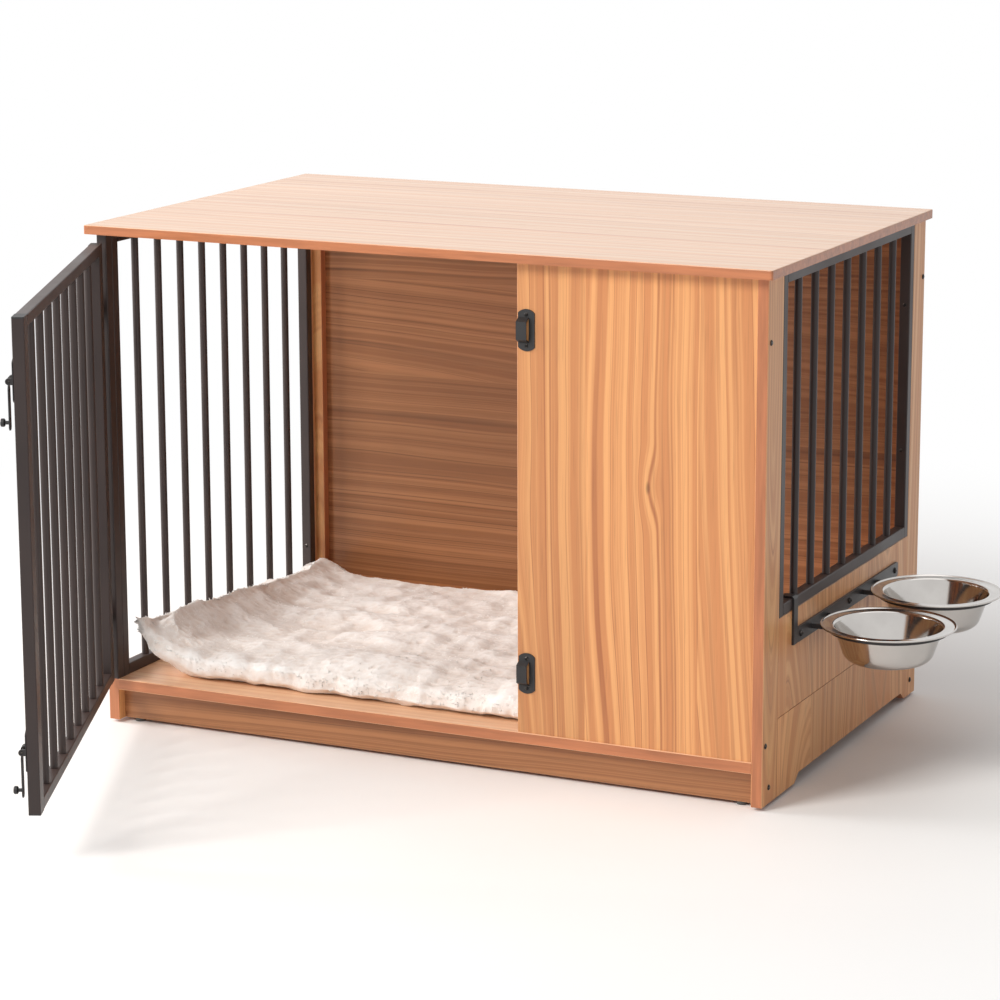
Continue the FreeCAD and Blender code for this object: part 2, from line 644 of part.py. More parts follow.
rail_top = WINDOW_BOTTOM_Z + TUBE
hook_y0 = HOLDER_FRONT_Y - HOOK_WIDTH
hook_in_x1 = side_in - FACE_GAP
outline = [(side_out, holder_bottom), (holder_x1, holder_bottom),
           (holder_x1, rail_top + HOLDER_THICK), (hook_in_x1 - HOLDER_THICK, rail_top + HOLDER_THICK),
           (hook_in_x1 - HOLDER_THICK, rail_top - HOOK_DROP), (hook_in_x1, rail_top - HOOK_DROP),
           (hook_in_x1, rail_top), (side_out, rail_top)]
hook = prism([(x, hook_y0, z) for x, z in outline], (0, HOOK_WIDTH, 0))
bends = [e for e in hook.Edges if e.BoundBox.YLength > HOOK_WIDTH / 2
         and e.BoundBox.ZMin > rail_top + HOLDER_THICK / 2]
parts["bowl_holder_hook"] = hook.makeFillet(HOOK_BEND_R, bends)



def bowl_side(foot_z, rest_z, inset):
    """The bowl's half profile in XZ: flat foot, round heel, leaning wall, flat flange."""
    heel_r = BOWL_HEEL_R - inset
    heel = Vector(BOWL_FOOT_R, 0, foot_z + BOWL_HEEL_R)
    neck = Vector(BOWL_BODY_R - inset, 0, rest_z + inset)
    reach = neck - heel
    distance = reach.Length
    turn = math.atan2(reach.z, reach.x) - math.acos(heel_r / distance)
    half = (turn - math.pi / 2) / 2
    tangent = heel + Vector(math.cos(turn), 0, math.sin(turn)) * heel_r
    middle = heel + Vector(math.cos(half), 0, math.sin(half)) * heel_r
    bottom = heel - Z * heel_r
    end_r = BOWL_RIM_R - BOWL_LIP_R * (1 if inset == 0 else 2)
    return [Part.makeLine(Vector(0, 0, bottom.z), bottom),
            Part.Arc(bottom, middle, tangent).toShape(),
            Part.makeLine(tangent, neck),
            Part.makeLine(neck, Vector(end_r, 0, neck.z))]


ring_x = holder_x1 + RING_STAND_OFF + RING_R
ring_z = holder_mid_z - RING_HEIGHT / 2
for label, yc in zip(("front", "rear"), RING_Y):
    ring = rod((ring_x, yc, ring_z), (0, 0, 1), RING_HEIGHT, RING_R + RING_BAND / 2)
    ring = ring.cut(rod((ring_x, yc, ring_z - 1), (0, 0, 1), RING_HEIGHT + 2,
                        RING_R - RING_BAND / 2))
    for dy in (-STUB_SPREAD, STUB_SPREAD):
        reach = ring_x - math.sqrt(RING_R ** 2 - (abs(dy) - RING_BAND / 2) ** 2)
        ring = ring.fuse(box(holder_x1, reach, yc + dy - RING_BAND / 2,
                             yc + dy + RING_BAND / 2, ring_z, ring_z + RING_HEIGHT))
    parts[label + "_bowl_ring"] = ring.removeSplitter()

    rest_z = ring_z + RING_HEIGHT
    foot_z = rest_z + BOWL_WALL - BOWL_HEIGHT
    outer = bowl_side(foot_z, rest_z, 0)
    inner = bowl_side(foot_z, rest_z, BOWL_WALL)
    lip = Part.Arc(outer[-1].lastVertex().Point,
                   Vector(BOWL_RIM_R, 0, rest_z + BOWL_LIP_R),
                   Vector(BOWL_RIM_R - BOWL_LIP_R, 0, rest_z + 2 * BOWL_LIP_R)).toShape()
    edge_in = Part.makeLine(lip.lastVertex().Point, inner[-1].lastVertex().Point)
    axis = Part.makeLine(outer[0].firstVertex().Point, inner[0].firstVertex().Point)
    wire = Part.Wire(Part.__sortEdges__(outer + [lip, edge_in, axis] + inner))
    bowl = Part.Face(wire).revolve(Vector(0, 0, 0), Z, 360)
    bowl.translate(Vector(ring_x, yc, 0))
    parts[label + "_bowl"] = bowl

# ---------------------------------------------------------------- screws into the side edges
side_screws = []


def side_screw(x, direction, y, z, names, length):
    seat = (x, y, z)
    out = (direction, 0, 0)
    hole = screw_hole(seat, out, length, SCREW_SHANK_R)
    drill(names, [hole])
    side_screws.append(wood_screw(seat, out, length))


panel_mid_y = (panel_y0 + panel_y1) / 2
back_mid_y = (back_in + back_y) / 2
kick_front_mid = kick_front + BOARD / 2
kick_rear_mid = kick_rear - BOARD / 2
kick_mid_z = (base_z + floor_under_z) / 2
for z in (FLOOR_TOP_Z + SIDE_SCREW_ABOVE_FLOOR, TOP_UNDER_Z - SIDE_SCREW_BELOW_TOP):
    side_screw(side_out, 1, panel_mid_y, z, ["right_front_stile", "front_panel"],
               SIDE_SCREW_LENGTH)
    side_screw(side_out, 1, back_mid_y, z, ["right_rear_stile", "back_panel"],
               SIDE_SCREW_LENGTH)
    side_screw(-side_out, -1, back_mid_y, z, ["left_rear_stile", "back_panel"],
               SIDE_SCREW_LENGTH)
side_screw(side_out, 1, kick_front_mid, kick_mid_z, ["right_front_stile", "front_kickboard"],
           SIDE_SCREW_LENGTH)
side_screw(side_out, 1, kick_rear_mid, kick_mid_z, ["right_rear_stile", "rear_kickboard"],
           SIDE_SCREW_LENGTH)
side_screw(-side_out, -1, kick_front_mid, kick_mid_z, ["left_base_board", "front_kickboard"],
           SIDE_SCREW_LENGTH)
side_screw(-side_out, -1, kick_rear_mid, kick_mid_z, ["left_base_board", "rear_kickboard"],
           SIDE_SCREW_LENGTH)
parts["side_screws"] = group(side_screws)

# screws through the posts into the stiles beside them
grille_screws = []
for z in (WINDOW_BOTTOM_Z + RIGHT_SCREW_ABOVE_RAIL, TOP_UNDER_Z - RIGHT_SCREW_BELOW_TOP):
    for y, out, names in ((right_window_front + TUBE, 1,
                           ["right_grille_front_post", "right_front_stile"]),
                          (right_window_rear - TUBE, -1,
                           ["right_grille_rear_post", "right_rear_stile"])):
        seat = (side_in + TUBE / 2, y, z)
        hole = screw_hole(seat, (0, out, 0), GRILLE_SCREW_LENGTH, SMALL_SHANK_R)
        drill(names, [hole])
        grille_screws.append(small_screw(seat, (0, out, 0), GRILLE_SCREW_LENGTH))
for z in (FLOOR_TOP_Z + LEFT_SCREW_ABOVE_RAIL, TOP_UNDER_Z - LEFT_SCREW_BELOW_TOP):
    for y, out, names in ((jamb_rear + TUBE, 1, ["left_grille_front_post", "hinge_post"]),
                          (left_arch_end - TUBE, -1,
                           ["left_grille_rear_post", "left_rear_stile"])):
        seat = (-side_out + TUBE / 2, y, z)
        hole = screw_hole(seat, (0, out, 0), GRILLE_SCREW_LENGTH, SMALL_SHANK_R)
        drill(names, [hole])
        grille_screws.append(small_screw(seat, (0, out, 0), GRILLE_SCREW_LENGTH))
parts["grille_screws"] = group(grille_screws)

# ---------------------------------------------------------------- glides
glides = []
glide_x = side_in - GLIDE_INSET + BOARD
for gx in (-glide_x, glide_x):
    for gy in (kick_front_mid, kick_rear_mid):
        glides.append(rod((gx, gy, 0), (0, 0, 1), GLIDE_HEIGHT, min(GLIDE_R, BOARD / 2)))
glides.append(rod((0, 0, 0), (0, 0, 1), GLIDE_HEIGHT, min(GLIDE_R, BOARD / 2)))
parts["floor_glides"] = group(glides)


# ---------------------------------------------------------------- fleece pad
# The pad is longer than the space, so its left side curls up the bars, most at the front.
# Lofted along Y through sections in XZ: flat below, a curl on the left, crowned above.
pad_z = FLOOR_TOP_Z + PAD_GAP
pad_x0 = -side_in + PAD_WALL_GAP
pad_y0 = panel_y1 + PAD_DOOR_GAP
pad_y1 = back_in - BATTEN_WIDTH - PAD_BACK_GAP


def pad_section(y, thick, rise):
    """One closed section at depth y: thick is its thickness, rise the height of its curl."""
    low = pad_z + (PAD_THICK - thick) / 3
    start_x = pad_x0 + PAD_CURL_RUN
    curl_r = (PAD_CURL_RUN ** 2 + rise ** 2) / (2 * rise)
    turn = 2 * math.atan(rise / PAD_CURL_RUN)
    centre = Vector(start_x, y, low + curl_r)

    def on_curl(angle, depth):
        reach = curl_r - depth
        return centre + Vector(-math.sin(angle) * reach, 0, -math.cos(angle) * reach)

    under_tip = on_curl(turn, 0)
    upper_tip = on_curl(turn, thick)
    nose = on_curl(turn + thick * PAD_NOSE / curl_r, thick / 2)
    upper_start = on_curl(0, thick)
    right_low = Vector(PAD_RIGHT_X - thick * PAD_NOSE, y, low)
    right_tip = Vector(PAD_RIGHT_X, y, low + thick / 2)
    right_high = Vector(right_low.x, y, low + thick)
    crown = Vector((upper_start.x + right_high.x) / 2, y, low + thick + PAD_CROWN)
    edges = [Part.makeLine(right_low, on_curl(0, 0)),
             Part.Arc(on_curl(0, 0), on_curl(turn / 2, 0), under_tip).toShape(),
             Part.Arc(under_tip, nose, upper_tip).toShape(),
             Part.Arc(upper_tip, on_curl(turn / 2, thick), upper_start).toShape(),
             Part.Arc(upper_start, crown, right_high).toShape(),
             Part.Arc(right_high, right_tip, right_low).toShape()]
    return Part.Wire(edges)


edge_steps = [PAD_THICK * (1 - math.cos(math.radians(a))) for a in (0, 30, 60, 90)]
inner_y0 = pad_y0 + edge_steps[-1]
inner_y1 = pad_y1 - edge_steps[-1]
stations = [pad_y0 + d for d in edge_steps]
stations += [inner_y0 + (inner_y1 - inner_y0) * i / PAD_SPANS for i in range(1, PAD_SPANS)]
stations += [pad_y1 - d for d in reversed(edge_steps)]
sections = []
for y in stations:
    from_end = min(y - pad_y0, pad_y1 - y, PAD_THICK)
    swell = math.sqrt(1 - (1 - from_end / PAD_THICK) ** 2)
    thick = PAD_THICK * (PAD_EDGE_SHARE + (1 - PAD_EDGE_SHARE) * swell)
    back_share = (y - pad_y0) / (pad_y1 - pad_y0)
    rise = PAD_CURL_REAR + (PAD_CURL_FRONT - PAD_CURL_REAR) * (1 - back_share) ** 1.4
    sections.append(pad_section(y, thick, rise))
parts["fleece_pad"] = Part.makeLoft(sections, True, True)

# ---------------------------------------------------------------- write the nodes
for name, shape in parts.items():
    if not shape.isValid():
        print("not valid:", name)
    shape.exportStep("parts/" + name + ".step")
print(len(parts), "nodes")
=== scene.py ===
# %% [markdown]
# # A crate that is an end table
#
# The frame below is the finished engineering model: boards, square tube, round bars, hinges,
# latches, bowls and a pad, each as its own node, in metres. This lesson dresses it. Boards get a
# printed wood laminate, the cage a baked powder coat, the bowls spun steel, and the pad is swollen
# like a real fleece cushion. Nothing in the frame is moved, so its joints still work afterwards.

# %% Load the frame and keep its box
import math

import bpy
import numpy as np
from mathutils import Matrix, Vector


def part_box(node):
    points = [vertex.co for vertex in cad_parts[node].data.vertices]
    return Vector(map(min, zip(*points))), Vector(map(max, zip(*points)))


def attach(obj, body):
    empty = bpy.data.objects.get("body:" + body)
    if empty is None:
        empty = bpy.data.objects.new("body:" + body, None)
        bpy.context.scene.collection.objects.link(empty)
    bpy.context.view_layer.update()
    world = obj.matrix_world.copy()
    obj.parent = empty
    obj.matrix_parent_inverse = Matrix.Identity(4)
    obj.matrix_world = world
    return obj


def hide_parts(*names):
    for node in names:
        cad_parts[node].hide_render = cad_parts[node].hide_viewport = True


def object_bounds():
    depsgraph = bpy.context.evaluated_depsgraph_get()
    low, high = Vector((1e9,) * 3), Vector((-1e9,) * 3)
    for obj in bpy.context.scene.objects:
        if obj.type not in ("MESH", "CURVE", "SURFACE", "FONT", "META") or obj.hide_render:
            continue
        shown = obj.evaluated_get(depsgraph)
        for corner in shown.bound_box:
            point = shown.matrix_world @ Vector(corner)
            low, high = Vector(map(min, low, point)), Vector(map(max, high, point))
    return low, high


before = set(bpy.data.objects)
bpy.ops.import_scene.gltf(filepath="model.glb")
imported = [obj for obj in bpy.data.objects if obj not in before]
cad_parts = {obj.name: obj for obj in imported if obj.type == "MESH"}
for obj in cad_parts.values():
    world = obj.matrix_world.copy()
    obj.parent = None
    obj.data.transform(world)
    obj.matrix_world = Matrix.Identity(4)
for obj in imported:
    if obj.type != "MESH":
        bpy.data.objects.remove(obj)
cad_box = [list(corner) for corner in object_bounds()]
print("box of the frame:", [[round(v, 4) for v in corner] for corner in cad_box])

# %% [markdown]
# ## Camera, floor and daylight
#
# The camera stands where the photographer stood: a little over four and a half metres away, right
# of the front and above the top. A long lens from there keeps the posts nearly parallel. Its
# direction is written as azimuth, elevation and roll, from which three axes follow: back, right
# and up. They become the columns of its turn, so no aiming constraint is needed.

# %% Camera basis from azimuth, elevation and roll
AZIMUTH = math.radians(25.482)
ELEVATION = math.radians(12.597)
ROLL = math.radians(-0.169)
CAMERA_PLACE = Vector((1.9062, -4.0551, 1.2978))
FOCAL_PIXELS = 3328.2
FRAME_PIXELS = 1000.0
SENSOR_MM = 36.0

back = Vector((math.sin(AZIMUTH) * math.cos(ELEVATION),
               -math.cos(AZIMUTH) * math.cos(ELEVATION), math.sin(ELEVATION)))
right = Vector((math.cos(AZIMUTH), math.sin(AZIMUTH), 0.0))
up = back.cross(right)
right_rolled = right * math.cos(ROLL) + up * math.sin(ROLL)
up_rolled = up * math.cos(ROLL) - right * math.sin(ROLL)

camera_data = bpy.data.cameras.new("crate_camera")
camera_data.sensor_width = SENSOR_MM
camera_data.sensor_fit = "HORIZONTAL"
camera_data.lens = FOCAL_PIXELS * SENSOR_MM / FRAME_PIXELS
camera = bpy.data.objects.new("crate_camera", camera_data)
turn = Matrix((right_rolled, up_rolled, back)).transposed()
camera.matrix_world = Matrix.Translation(CAMERA_PLACE) @ turn.to_4x4()
bpy.context.scene.collection.objects.link(camera)
bpy.context.scene.camera = camera
print("lens", round(camera_data.lens, 1), "mm, distance", round(CAMERA_PLACE.length, 2), "m")

# %% [markdown]
# A colour picked from a photograph is stored with the screen's curve, while a shader counts light
# evenly. One small helper turns the first into the second, so every colour below can be written
# the way a picture editor shows it.

# %% Screen colour to light
def colour(red, green, blue):
    """Linear red, green, blue and opacity from screen values 0 to 255, by the screen's curve."""
    c = np.array([red, green, blue]) / 255.0
    lin = np.where(c <= 0.04045, c / 12.92, ((c + 0.055) / 1.055) ** 2.4)
    return (*lin.tolist(), 1.0)


print("mid grey as light:", round(colour(128, 128, 128)[0], 3))


# %% [markdown]
# A material is a small network of nodes. Naming each wire by hand makes long code, so two helpers
# stand for "add this node with these inputs" and "do this sum", and the recipes stay readable.
# Three more follow from them: a blend of two colours, an empty material, and a value that is one
# for the rays that are named.

# %% Node helpers
def add(tree, kind, inputs=None, **settings):
    """Adds one node. Settings are its properties, and an input is a node's socket or a value."""
    made = tree.nodes.new("ShaderNode" + kind)
    for name, value in settings.items():
        setattr(made, name, value)
    for name, value in (inputs or {}).items():
        if isinstance(value, bpy.types.NodeSocket):
            tree.links.new(value, made.inputs[name])
        else:
            made.inputs[name].default_value = value
    return made


def calc(tree, operation, a, b=0.0, c=0.0):
    """One sum of a, b and c, as a socket."""
    return add(tree, "Math", {0: a, 1: b, 2: c}, operation=operation).outputs[0]


def blend_colour(tree, share, first, second):
    """first where share is 0 and second where it is 1, as a socket."""
    return add(tree, "Mix", {0: share, 6: first, 7: second}, data_type="RGBA").outputs[2]


def is_ray(tree, *kinds):
    """1 for the named kinds of ray and 0 for all others, as a socket."""
    path = add(tree, "LightPath")
    named = path.outputs["Is " + kinds[0] + " Ray"]
    for kind in kinds[1:]:
        named = calc(tree, "MAXIMUM", named, path.outputs["Is " + kind + " Ray"])
    return named


def new_finish(name):
    """An empty material with its shader: returns (material, tree, shader)."""
    material = bpy.data.materials.new(name)
    material.use_nodes = True
    tree = material.node_tree
    return material, tree, tree.nodes["Principled BSDF"]


# %% [markdown]
# The floor is a plain pale sheet, which keeps the crate's shadow close by and fades to the white
# of the backdrop further out, so no horizon shows. The sky around it is even and soft. It shows
# as white behind the crate and in shiny steel, while it lights the wood at an ordinary level. A
# large lamp at the front left gives the long soft shading that a big window would, and a weaker
# one at the left reaches through the bars to the pad.

# %% Floor, sky and window light
FLOOR_REACH, FLOOR_GAP = 9.0, 0.0005
FADE_START, FADE_END = 0.55, 1.9
SKY_LEVEL = 0.40
WHITE = (1.0, 1.0, 1.0, 1.0)

floor_z = cad_box[0][2] - FLOOR_GAP
floor_mesh = bpy.data.meshes.new("studio_floor")
floor_mesh.from_pydata([(x * FLOOR_REACH, y * FLOOR_REACH, floor_z)
                        for x, y in ((-1, -1), (1, -1), (1, 1), (-1, 1))], [], [(0, 1, 2, 3)])
floor = bpy.data.objects.new("studio_floor", floor_mesh)
bpy.context.scene.collection.objects.link(floor)
floor_finish, tree, shader = new_finish("pale_floor")
place = add(tree, "TexCoord").outputs["Object"]
speck = add(tree, "TexNoise", {"Vector": place, "Scale": 3.0}).outputs[0]
tree.links.new(blend_colour(tree, speck, colour(246, 245, 244), colour(250, 249, 248)),
               shader.inputs["Base Color"])
shader.inputs["Roughness"].default_value = 0.7
reach = add(tree, "VectorMath", {0: place}, operation="LENGTH").outputs["Value"]
fade = add(tree, "MapRange", {0: reach, 1: FADE_START, 2: FADE_END},
           interpolation_type="SMOOTHSTEP").outputs[0]
share = calc(tree, "MULTIPLY", fade, is_ray(tree, "Camera", "Glossy"))
paper = add(tree, "Emission", {"Color": WHITE, "Strength": 1.0}).outputs[0]
mixed = add(tree, "MixShader", {0: share, 1: shader.outputs[0], 2: paper})
tree.links.new(mixed.outputs[0], tree.nodes["Material Output"].inputs["Surface"])
floor_mesh.materials.append(floor_finish)

world = bpy.data.worlds.new("soft_studio")
world.use_nodes = True
bpy.context.scene.world = world
sky = world.node_tree
sky.nodes.clear()
seen = is_ray(sky, "Camera", "Transmission", "Glossy")
level = add(sky, "MapRange", {0: seen, 3: SKY_LEVEL, 4: 1.0}).outputs[0]
glow = add(sky, "Background", {"Color": WHITE, "Strength": level})
add(sky, "OutputWorld", {"Surface": glow.outputs[0]})


def soft_lamp(name, place, aim, size, watts, tint):
    """A square lamp at place that faces aim, size metres across."""
    lamp = bpy.data.lights.new(name, "AREA")
    lamp.shape = "SQUARE"
    lamp.size = size
    lamp.energy = watts
    lamp.color = tint
    holder = bpy.data.objects.new(name, lamp)
    holder.location = place
    holder.rotation_euler = (Vector(aim) - Vector(place)).to_track_quat("-Z", "Y").to_euler()
    bpy.context.scene.collection.objects.link(holder)


soft_lamp("window_light", (-1.9, -4.0, 3.5), (0.0, 0.0, 0.35), 1.8, 186.0, (1.0, 0.97, 0.93))
soft_lamp("side_window_light", (-3.6, -0.9, 1.7), (-0.2, 0.0, 0.2), 1.8, 120.0, (1.0, 0.98, 0.96))
soft_lamp("ceiling_light", (0.4, 0.6, 3.8), (0.0, 0.0, 0.4), 3.0, 22.0, (1.0, 0.98, 0.96))
bpy.context.scene.view_settings.view_transform = "Standard"
print("floor at", round(floor_z, 4), "lamps:", len(bpy.data.lights))


# %% [markdown]
# ## Printed wood on the boards
#
# The boards are chipboard with a printed paper face and a separate strip glued round the edges.
# A picture of wood would be the usual way, but a pattern can be grown instead. A board is a plane
# cut through a tree, and the lines on it are year rings. Here the plane leans a little away from
# the tree's middle, so the rings come out as long streaks with pointed arches, which is the
# figure of a plain-sawn board. Slow noise bends the trunk, fine noise adds the pores, and round a
# knot the rings are pushed outwards. The scales below count waves per metre, and those with three
# numbers run across the board, into it and along its grain.

# %% Turn a pattern so that its grain follows the board
def grain_turn(grain, face):
    """The turn that carries the board's grain axis to Z and its face axis to Y.

    Its matrix has three rows: the axis across the board, which is face times grain, then the
    face axis, then the grain axis."""
    axes = {"X": Vector((1, 0, 0)), "Y": Vector((0, 1, 0)), "Z": Vector((0, 0, 1))}
    g, f = axes[grain], axes[face]
    return Matrix((f.cross(g), f, g)).to_euler()


print("turn for a board lying flat:", [round(a, 2) for a in grain_turn("X", "Z")])


# %% The laminate
BAND_COLOUR = colour(184, 116, 78)
WORN_COLOUR = colour(222, 164, 120)
# Painted shade for the seam between the stacked side boards, put on their eased corners.
SEAM_SHADE_COLOUR = colour(92, 56, 36)
GOLD, HONEY, RUST = colour(228, 170, 112), colour(208, 142, 90), colour(168, 100, 60)
RING_SCALE, VEIN_SCALE, VEIN_WIDTH = 85.0, 62.0, 0.035
BEND_SCALE, WAVER_SCALE = (1.4, 1.4, 0.7), (9.0, 4.0, 1.7)
BEND_REACH, WAVER_REACH = 0.10, 0.020
SIDE_SPREAD, SIDE_MIDDLE, LEAN = 0.34, 0.20, 0.16
PITH_NEAR, PITH_FAR = 0.01, 0.09
PORE_SCALE, FIBRE_SCALE = (420.0, 420.0, 11.0), (230.0, 230.0, 3.0)
CLOUD_SCALE, PATCH_SCALE = (3.1, 3.1, 0.9), (7.0, 7.0, 2.0)
EDGE_SCALE, WEAR_SCALE = (90.0, 90.0, 7.0), (40.0, 40.0, 14.0)
KNOT_REACH, KNOT_PUSH, KNOT_FLATNESS = 0.024, 0.009, 0.36
EYE_INNER, EYE_OUTER = 0.0008, 0.0042


def wood_laminate(name, grain, face, shift, stave=0.105, shares=(GOLD, HONEY, RUST), pitch=1.0,
                  plain=0.0, gloss=0.38, knot=None, corner=WORN_COLOUR):
    """Wood print made of staves, each with rings that are noise of the distance from a tree middle.

    The stave's number draws three chances: how deep the middle lies, how much it leans, and how
    far it is to the side. distance = root of (side squared + (depth + lean times height) squared).
    plain moves the middle further aside, so that arches give way to straight streaks.
    Faces that look away from the face axis are the glued edge, and the eased corners between them
    take the corner colour in patches: wear by default, and painted seam shade on the stacked side
    boards."""
    material, tree, shader = new_finish(name)
    source = add(tree, "TexCoord")
    placed = add(tree, "Mapping", {"Vector": source.outputs["Object"], "Location": shift,
                                   "Rotation": grain_turn(grain, face)}).outputs[0]
    across, _, along = add(tree, "SeparateXYZ", {0: placed}).outputs[:3]

    def noise(scale, detail=2.0, rough=0.5):
        stretched = add(tree, "Mapping", {"Vector": placed, "Scale": scale})
        return add(tree, "TexNoise", {"Vector": stretched.outputs[0], "Scale": 1.0,
                                      "Detail": detail, "Roughness": rough}).outputs[0]

    def between(value, low, high, start=0.0, end=1.0, kind="LINEAR"):
        return add(tree, "MapRange", {0: value, 1: low, 2: high, 3: start, 4: end},
                   interpolation_type=kind).outputs[0]

    number = calc(tree, "FLOOR", calc(tree, "DIVIDE", across, stave))
    draw = add(tree, "TexWhiteNoise", {"W": calc(tree, "ADD", number, round(7.3 * shift[1], 2))},
               noise_dimensions="1D").outputs["Color"]
    chance = add(tree, "SeparateXYZ", {0: draw}).outputs
    local = calc(tree, "MULTIPLY_ADD", number, -stave, across)
    side = calc(tree, "SUBTRACT", local, SIDE_MIDDLE + plain)
    side = calc(tree, "MULTIPLY_ADD", chance[2], SIDE_SPREAD, side)
    lean = between(chance[1], 0.0, 1.0, -LEAN, LEAN)
    pith = between(chance[0], 0.0, 1.0, PITH_NEAR, PITH_FAR)
    middle = calc(tree, "MULTIPLY_ADD", lean, along, pith)
    middle = calc(tree, "MULTIPLY_ADD", noise(BEND_SCALE, 1.0), BEND_REACH, middle)
    distance = calc(tree, "SQRT", calc(tree, "MULTIPLY_ADD", side, side,
                                       calc(tree, "MULTIPLY", middle, middle)))
    distance = calc(tree, "MULTIPLY_ADD", noise(WAVER_SCALE), WAVER_REACH, distance)
    distance = calc(tree, "ADD", distance, number)
    if knot:
        off = add(tree, "VectorMath", {0: placed, 1: knot}, operation="SUBTRACT").outputs[0]
        off = add(tree, "VectorMath", {0: off, 1: (1.0, 0.0, KNOT_FLATNESS)},
                  operation="MULTIPLY").outputs[0]
        far = add(tree, "VectorMath", {0: off}, operation="LENGTH").outputs["Value"]
        push = between(far, 0.0, KNOT_REACH, KNOT_PUSH, 0.0, "SMOOTHSTEP")
        distance = calc(tree, "ADD", distance, push)
    rings = add(tree, "TexNoise", {"W": distance, "Scale": RING_SCALE * pitch, "Detail": 4.0,
                                   "Roughness": 0.6}, noise_dimensions="1D").outputs[0]
    veins = add(tree, "TexNoise", {"W": distance, "Scale": VEIN_SCALE * pitch, "Detail": 0.0},
                noise_dimensions="1D").outputs[0]
    pores = noise(PORE_SCALE, 2.0, 0.6)
    fibre = noise(FIBRE_SCALE, 3.0, 0.6)

    gold, honey, rust = shares
    tone = blend_colour(tree, between(rings, 0.40, 0.61, kind="SMOOTHSTEP"), honey, gold)
    line = between(calc(tree, "ABSOLUTE", calc(tree, "SUBTRACT", veins, 0.5)), 0.0, VEIN_WIDTH,
                   0.75, 0.0, "SMOOTHSTEP")
    line = calc(tree, "MULTIPLY", line, between(noise(PATCH_SCALE), 0.35, 0.62, 0.15, 1.0))
    tone = blend_colour(tree, line, tone, rust)
    shade = between(noise(CLOUD_SCALE, 1.0), 0.3, 0.7, 0.93, 1.04)
    shade = calc(tree, "MULTIPLY", shade, between(chance[0], 0.0, 1.0, 0.91, 1.03))
    shade = calc(tree, "MULTIPLY", shade, between(pores, 0.56, 0.72, 1.0, 0.86))
    shade = calc(tree, "MULTIPLY", shade, between(fibre, 0.3, 0.7, 0.95, 1.04))
    if knot:
        eye = between(far, EYE_INNER, EYE_OUTER, 0.55, 1.0, "SMOOTHSTEP")
        shade = calc(tree, "MULTIPLY", shade, eye)
    shaded = add(tree, "VectorMath", {0: tone, 3: shade}, operation="SCALE").outputs[0]

    facing = add(tree, "SeparateXYZ", {0: source.outputs["Normal"]})
    facing = calc(tree, "ABSOLUTE", facing.outputs["XYZ".index(face)])
    is_edge = calc(tree, "LESS_THAN", facing, 0.5)
    edge_shade = between(noise(EDGE_SCALE, 3.0, 0.6), 0.3, 0.7, 0.76, 1.16)
    edge_tone = add(tree, "VectorMath", {0: BAND_COLOUR[:3], 3: edge_shade},
                    operation="SCALE").outputs[0]
    tone = blend_colour(tree, is_edge, shaded, edge_tone)
    # Patches on the eased corners: wear with the worn colour, painted seam shade with the seam
    # colour.
    is_corner = calc(tree, "COMPARE", facing, 0.72, 0.2)
    wear_and_seam_shade = calc(tree, "MULTIPLY", is_corner, between(noise(WEAR_SCALE), 0.3, 0.65, 0.25, 0.9))
    tone = blend_colour(tree, wear_and_seam_shade, tone, corner)
    tree.links.new(tone, shader.inputs["Base Color"])
    tree.links.new(between(rings, 0.3, 0.7, gloss + 0.04, gloss - 0.04), shader.inputs["Roughness"])
    relief = calc(tree, "MULTIPLY_ADD", pores, -0.6, rings)
    bump = add(tree, "Bump", {"Height": relief, "Strength": 0.16, "Distance": 0.0004})
    tree.links.new(bump.outputs[0], shader.inputs["Normal"])
    return material


# %% [markdown]
# Each board was cut from a different place of the printed roll, so no two show the same streaks.
# The pattern is shifted for each one, mostly into the depth of the noise, where a shift changes
# the streaks but not their angle. Its grain follows the board: upright on the front and
# the sides, lengthwise on the top, the floor, the kickboards and the back.

# %% Dress the boards
PANEL_WOOD = (colour(222, 160, 104), colour(198, 132, 83), colour(158, 92, 55))
# Painted shade: a darker copy of the laminate for the front kickboard and the back panel.
PAINTED_SHADE_WOOD = (colour(176, 120, 78), colour(150, 98, 61), colour(110, 69, 42))
# Painted highlight: a paler copy of the laminate, for glare on the upward table top and floor
# board.
PAINTED_GLARE_WOOD = (colour(238, 196, 160), colour(228, 178, 140), colour(204, 142, 102))


def dress(names, material):
    """Gives the named frame nodes one material."""
    for name in names:
        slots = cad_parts[name].data.materials
        slots.clear()
        slots.append(material)


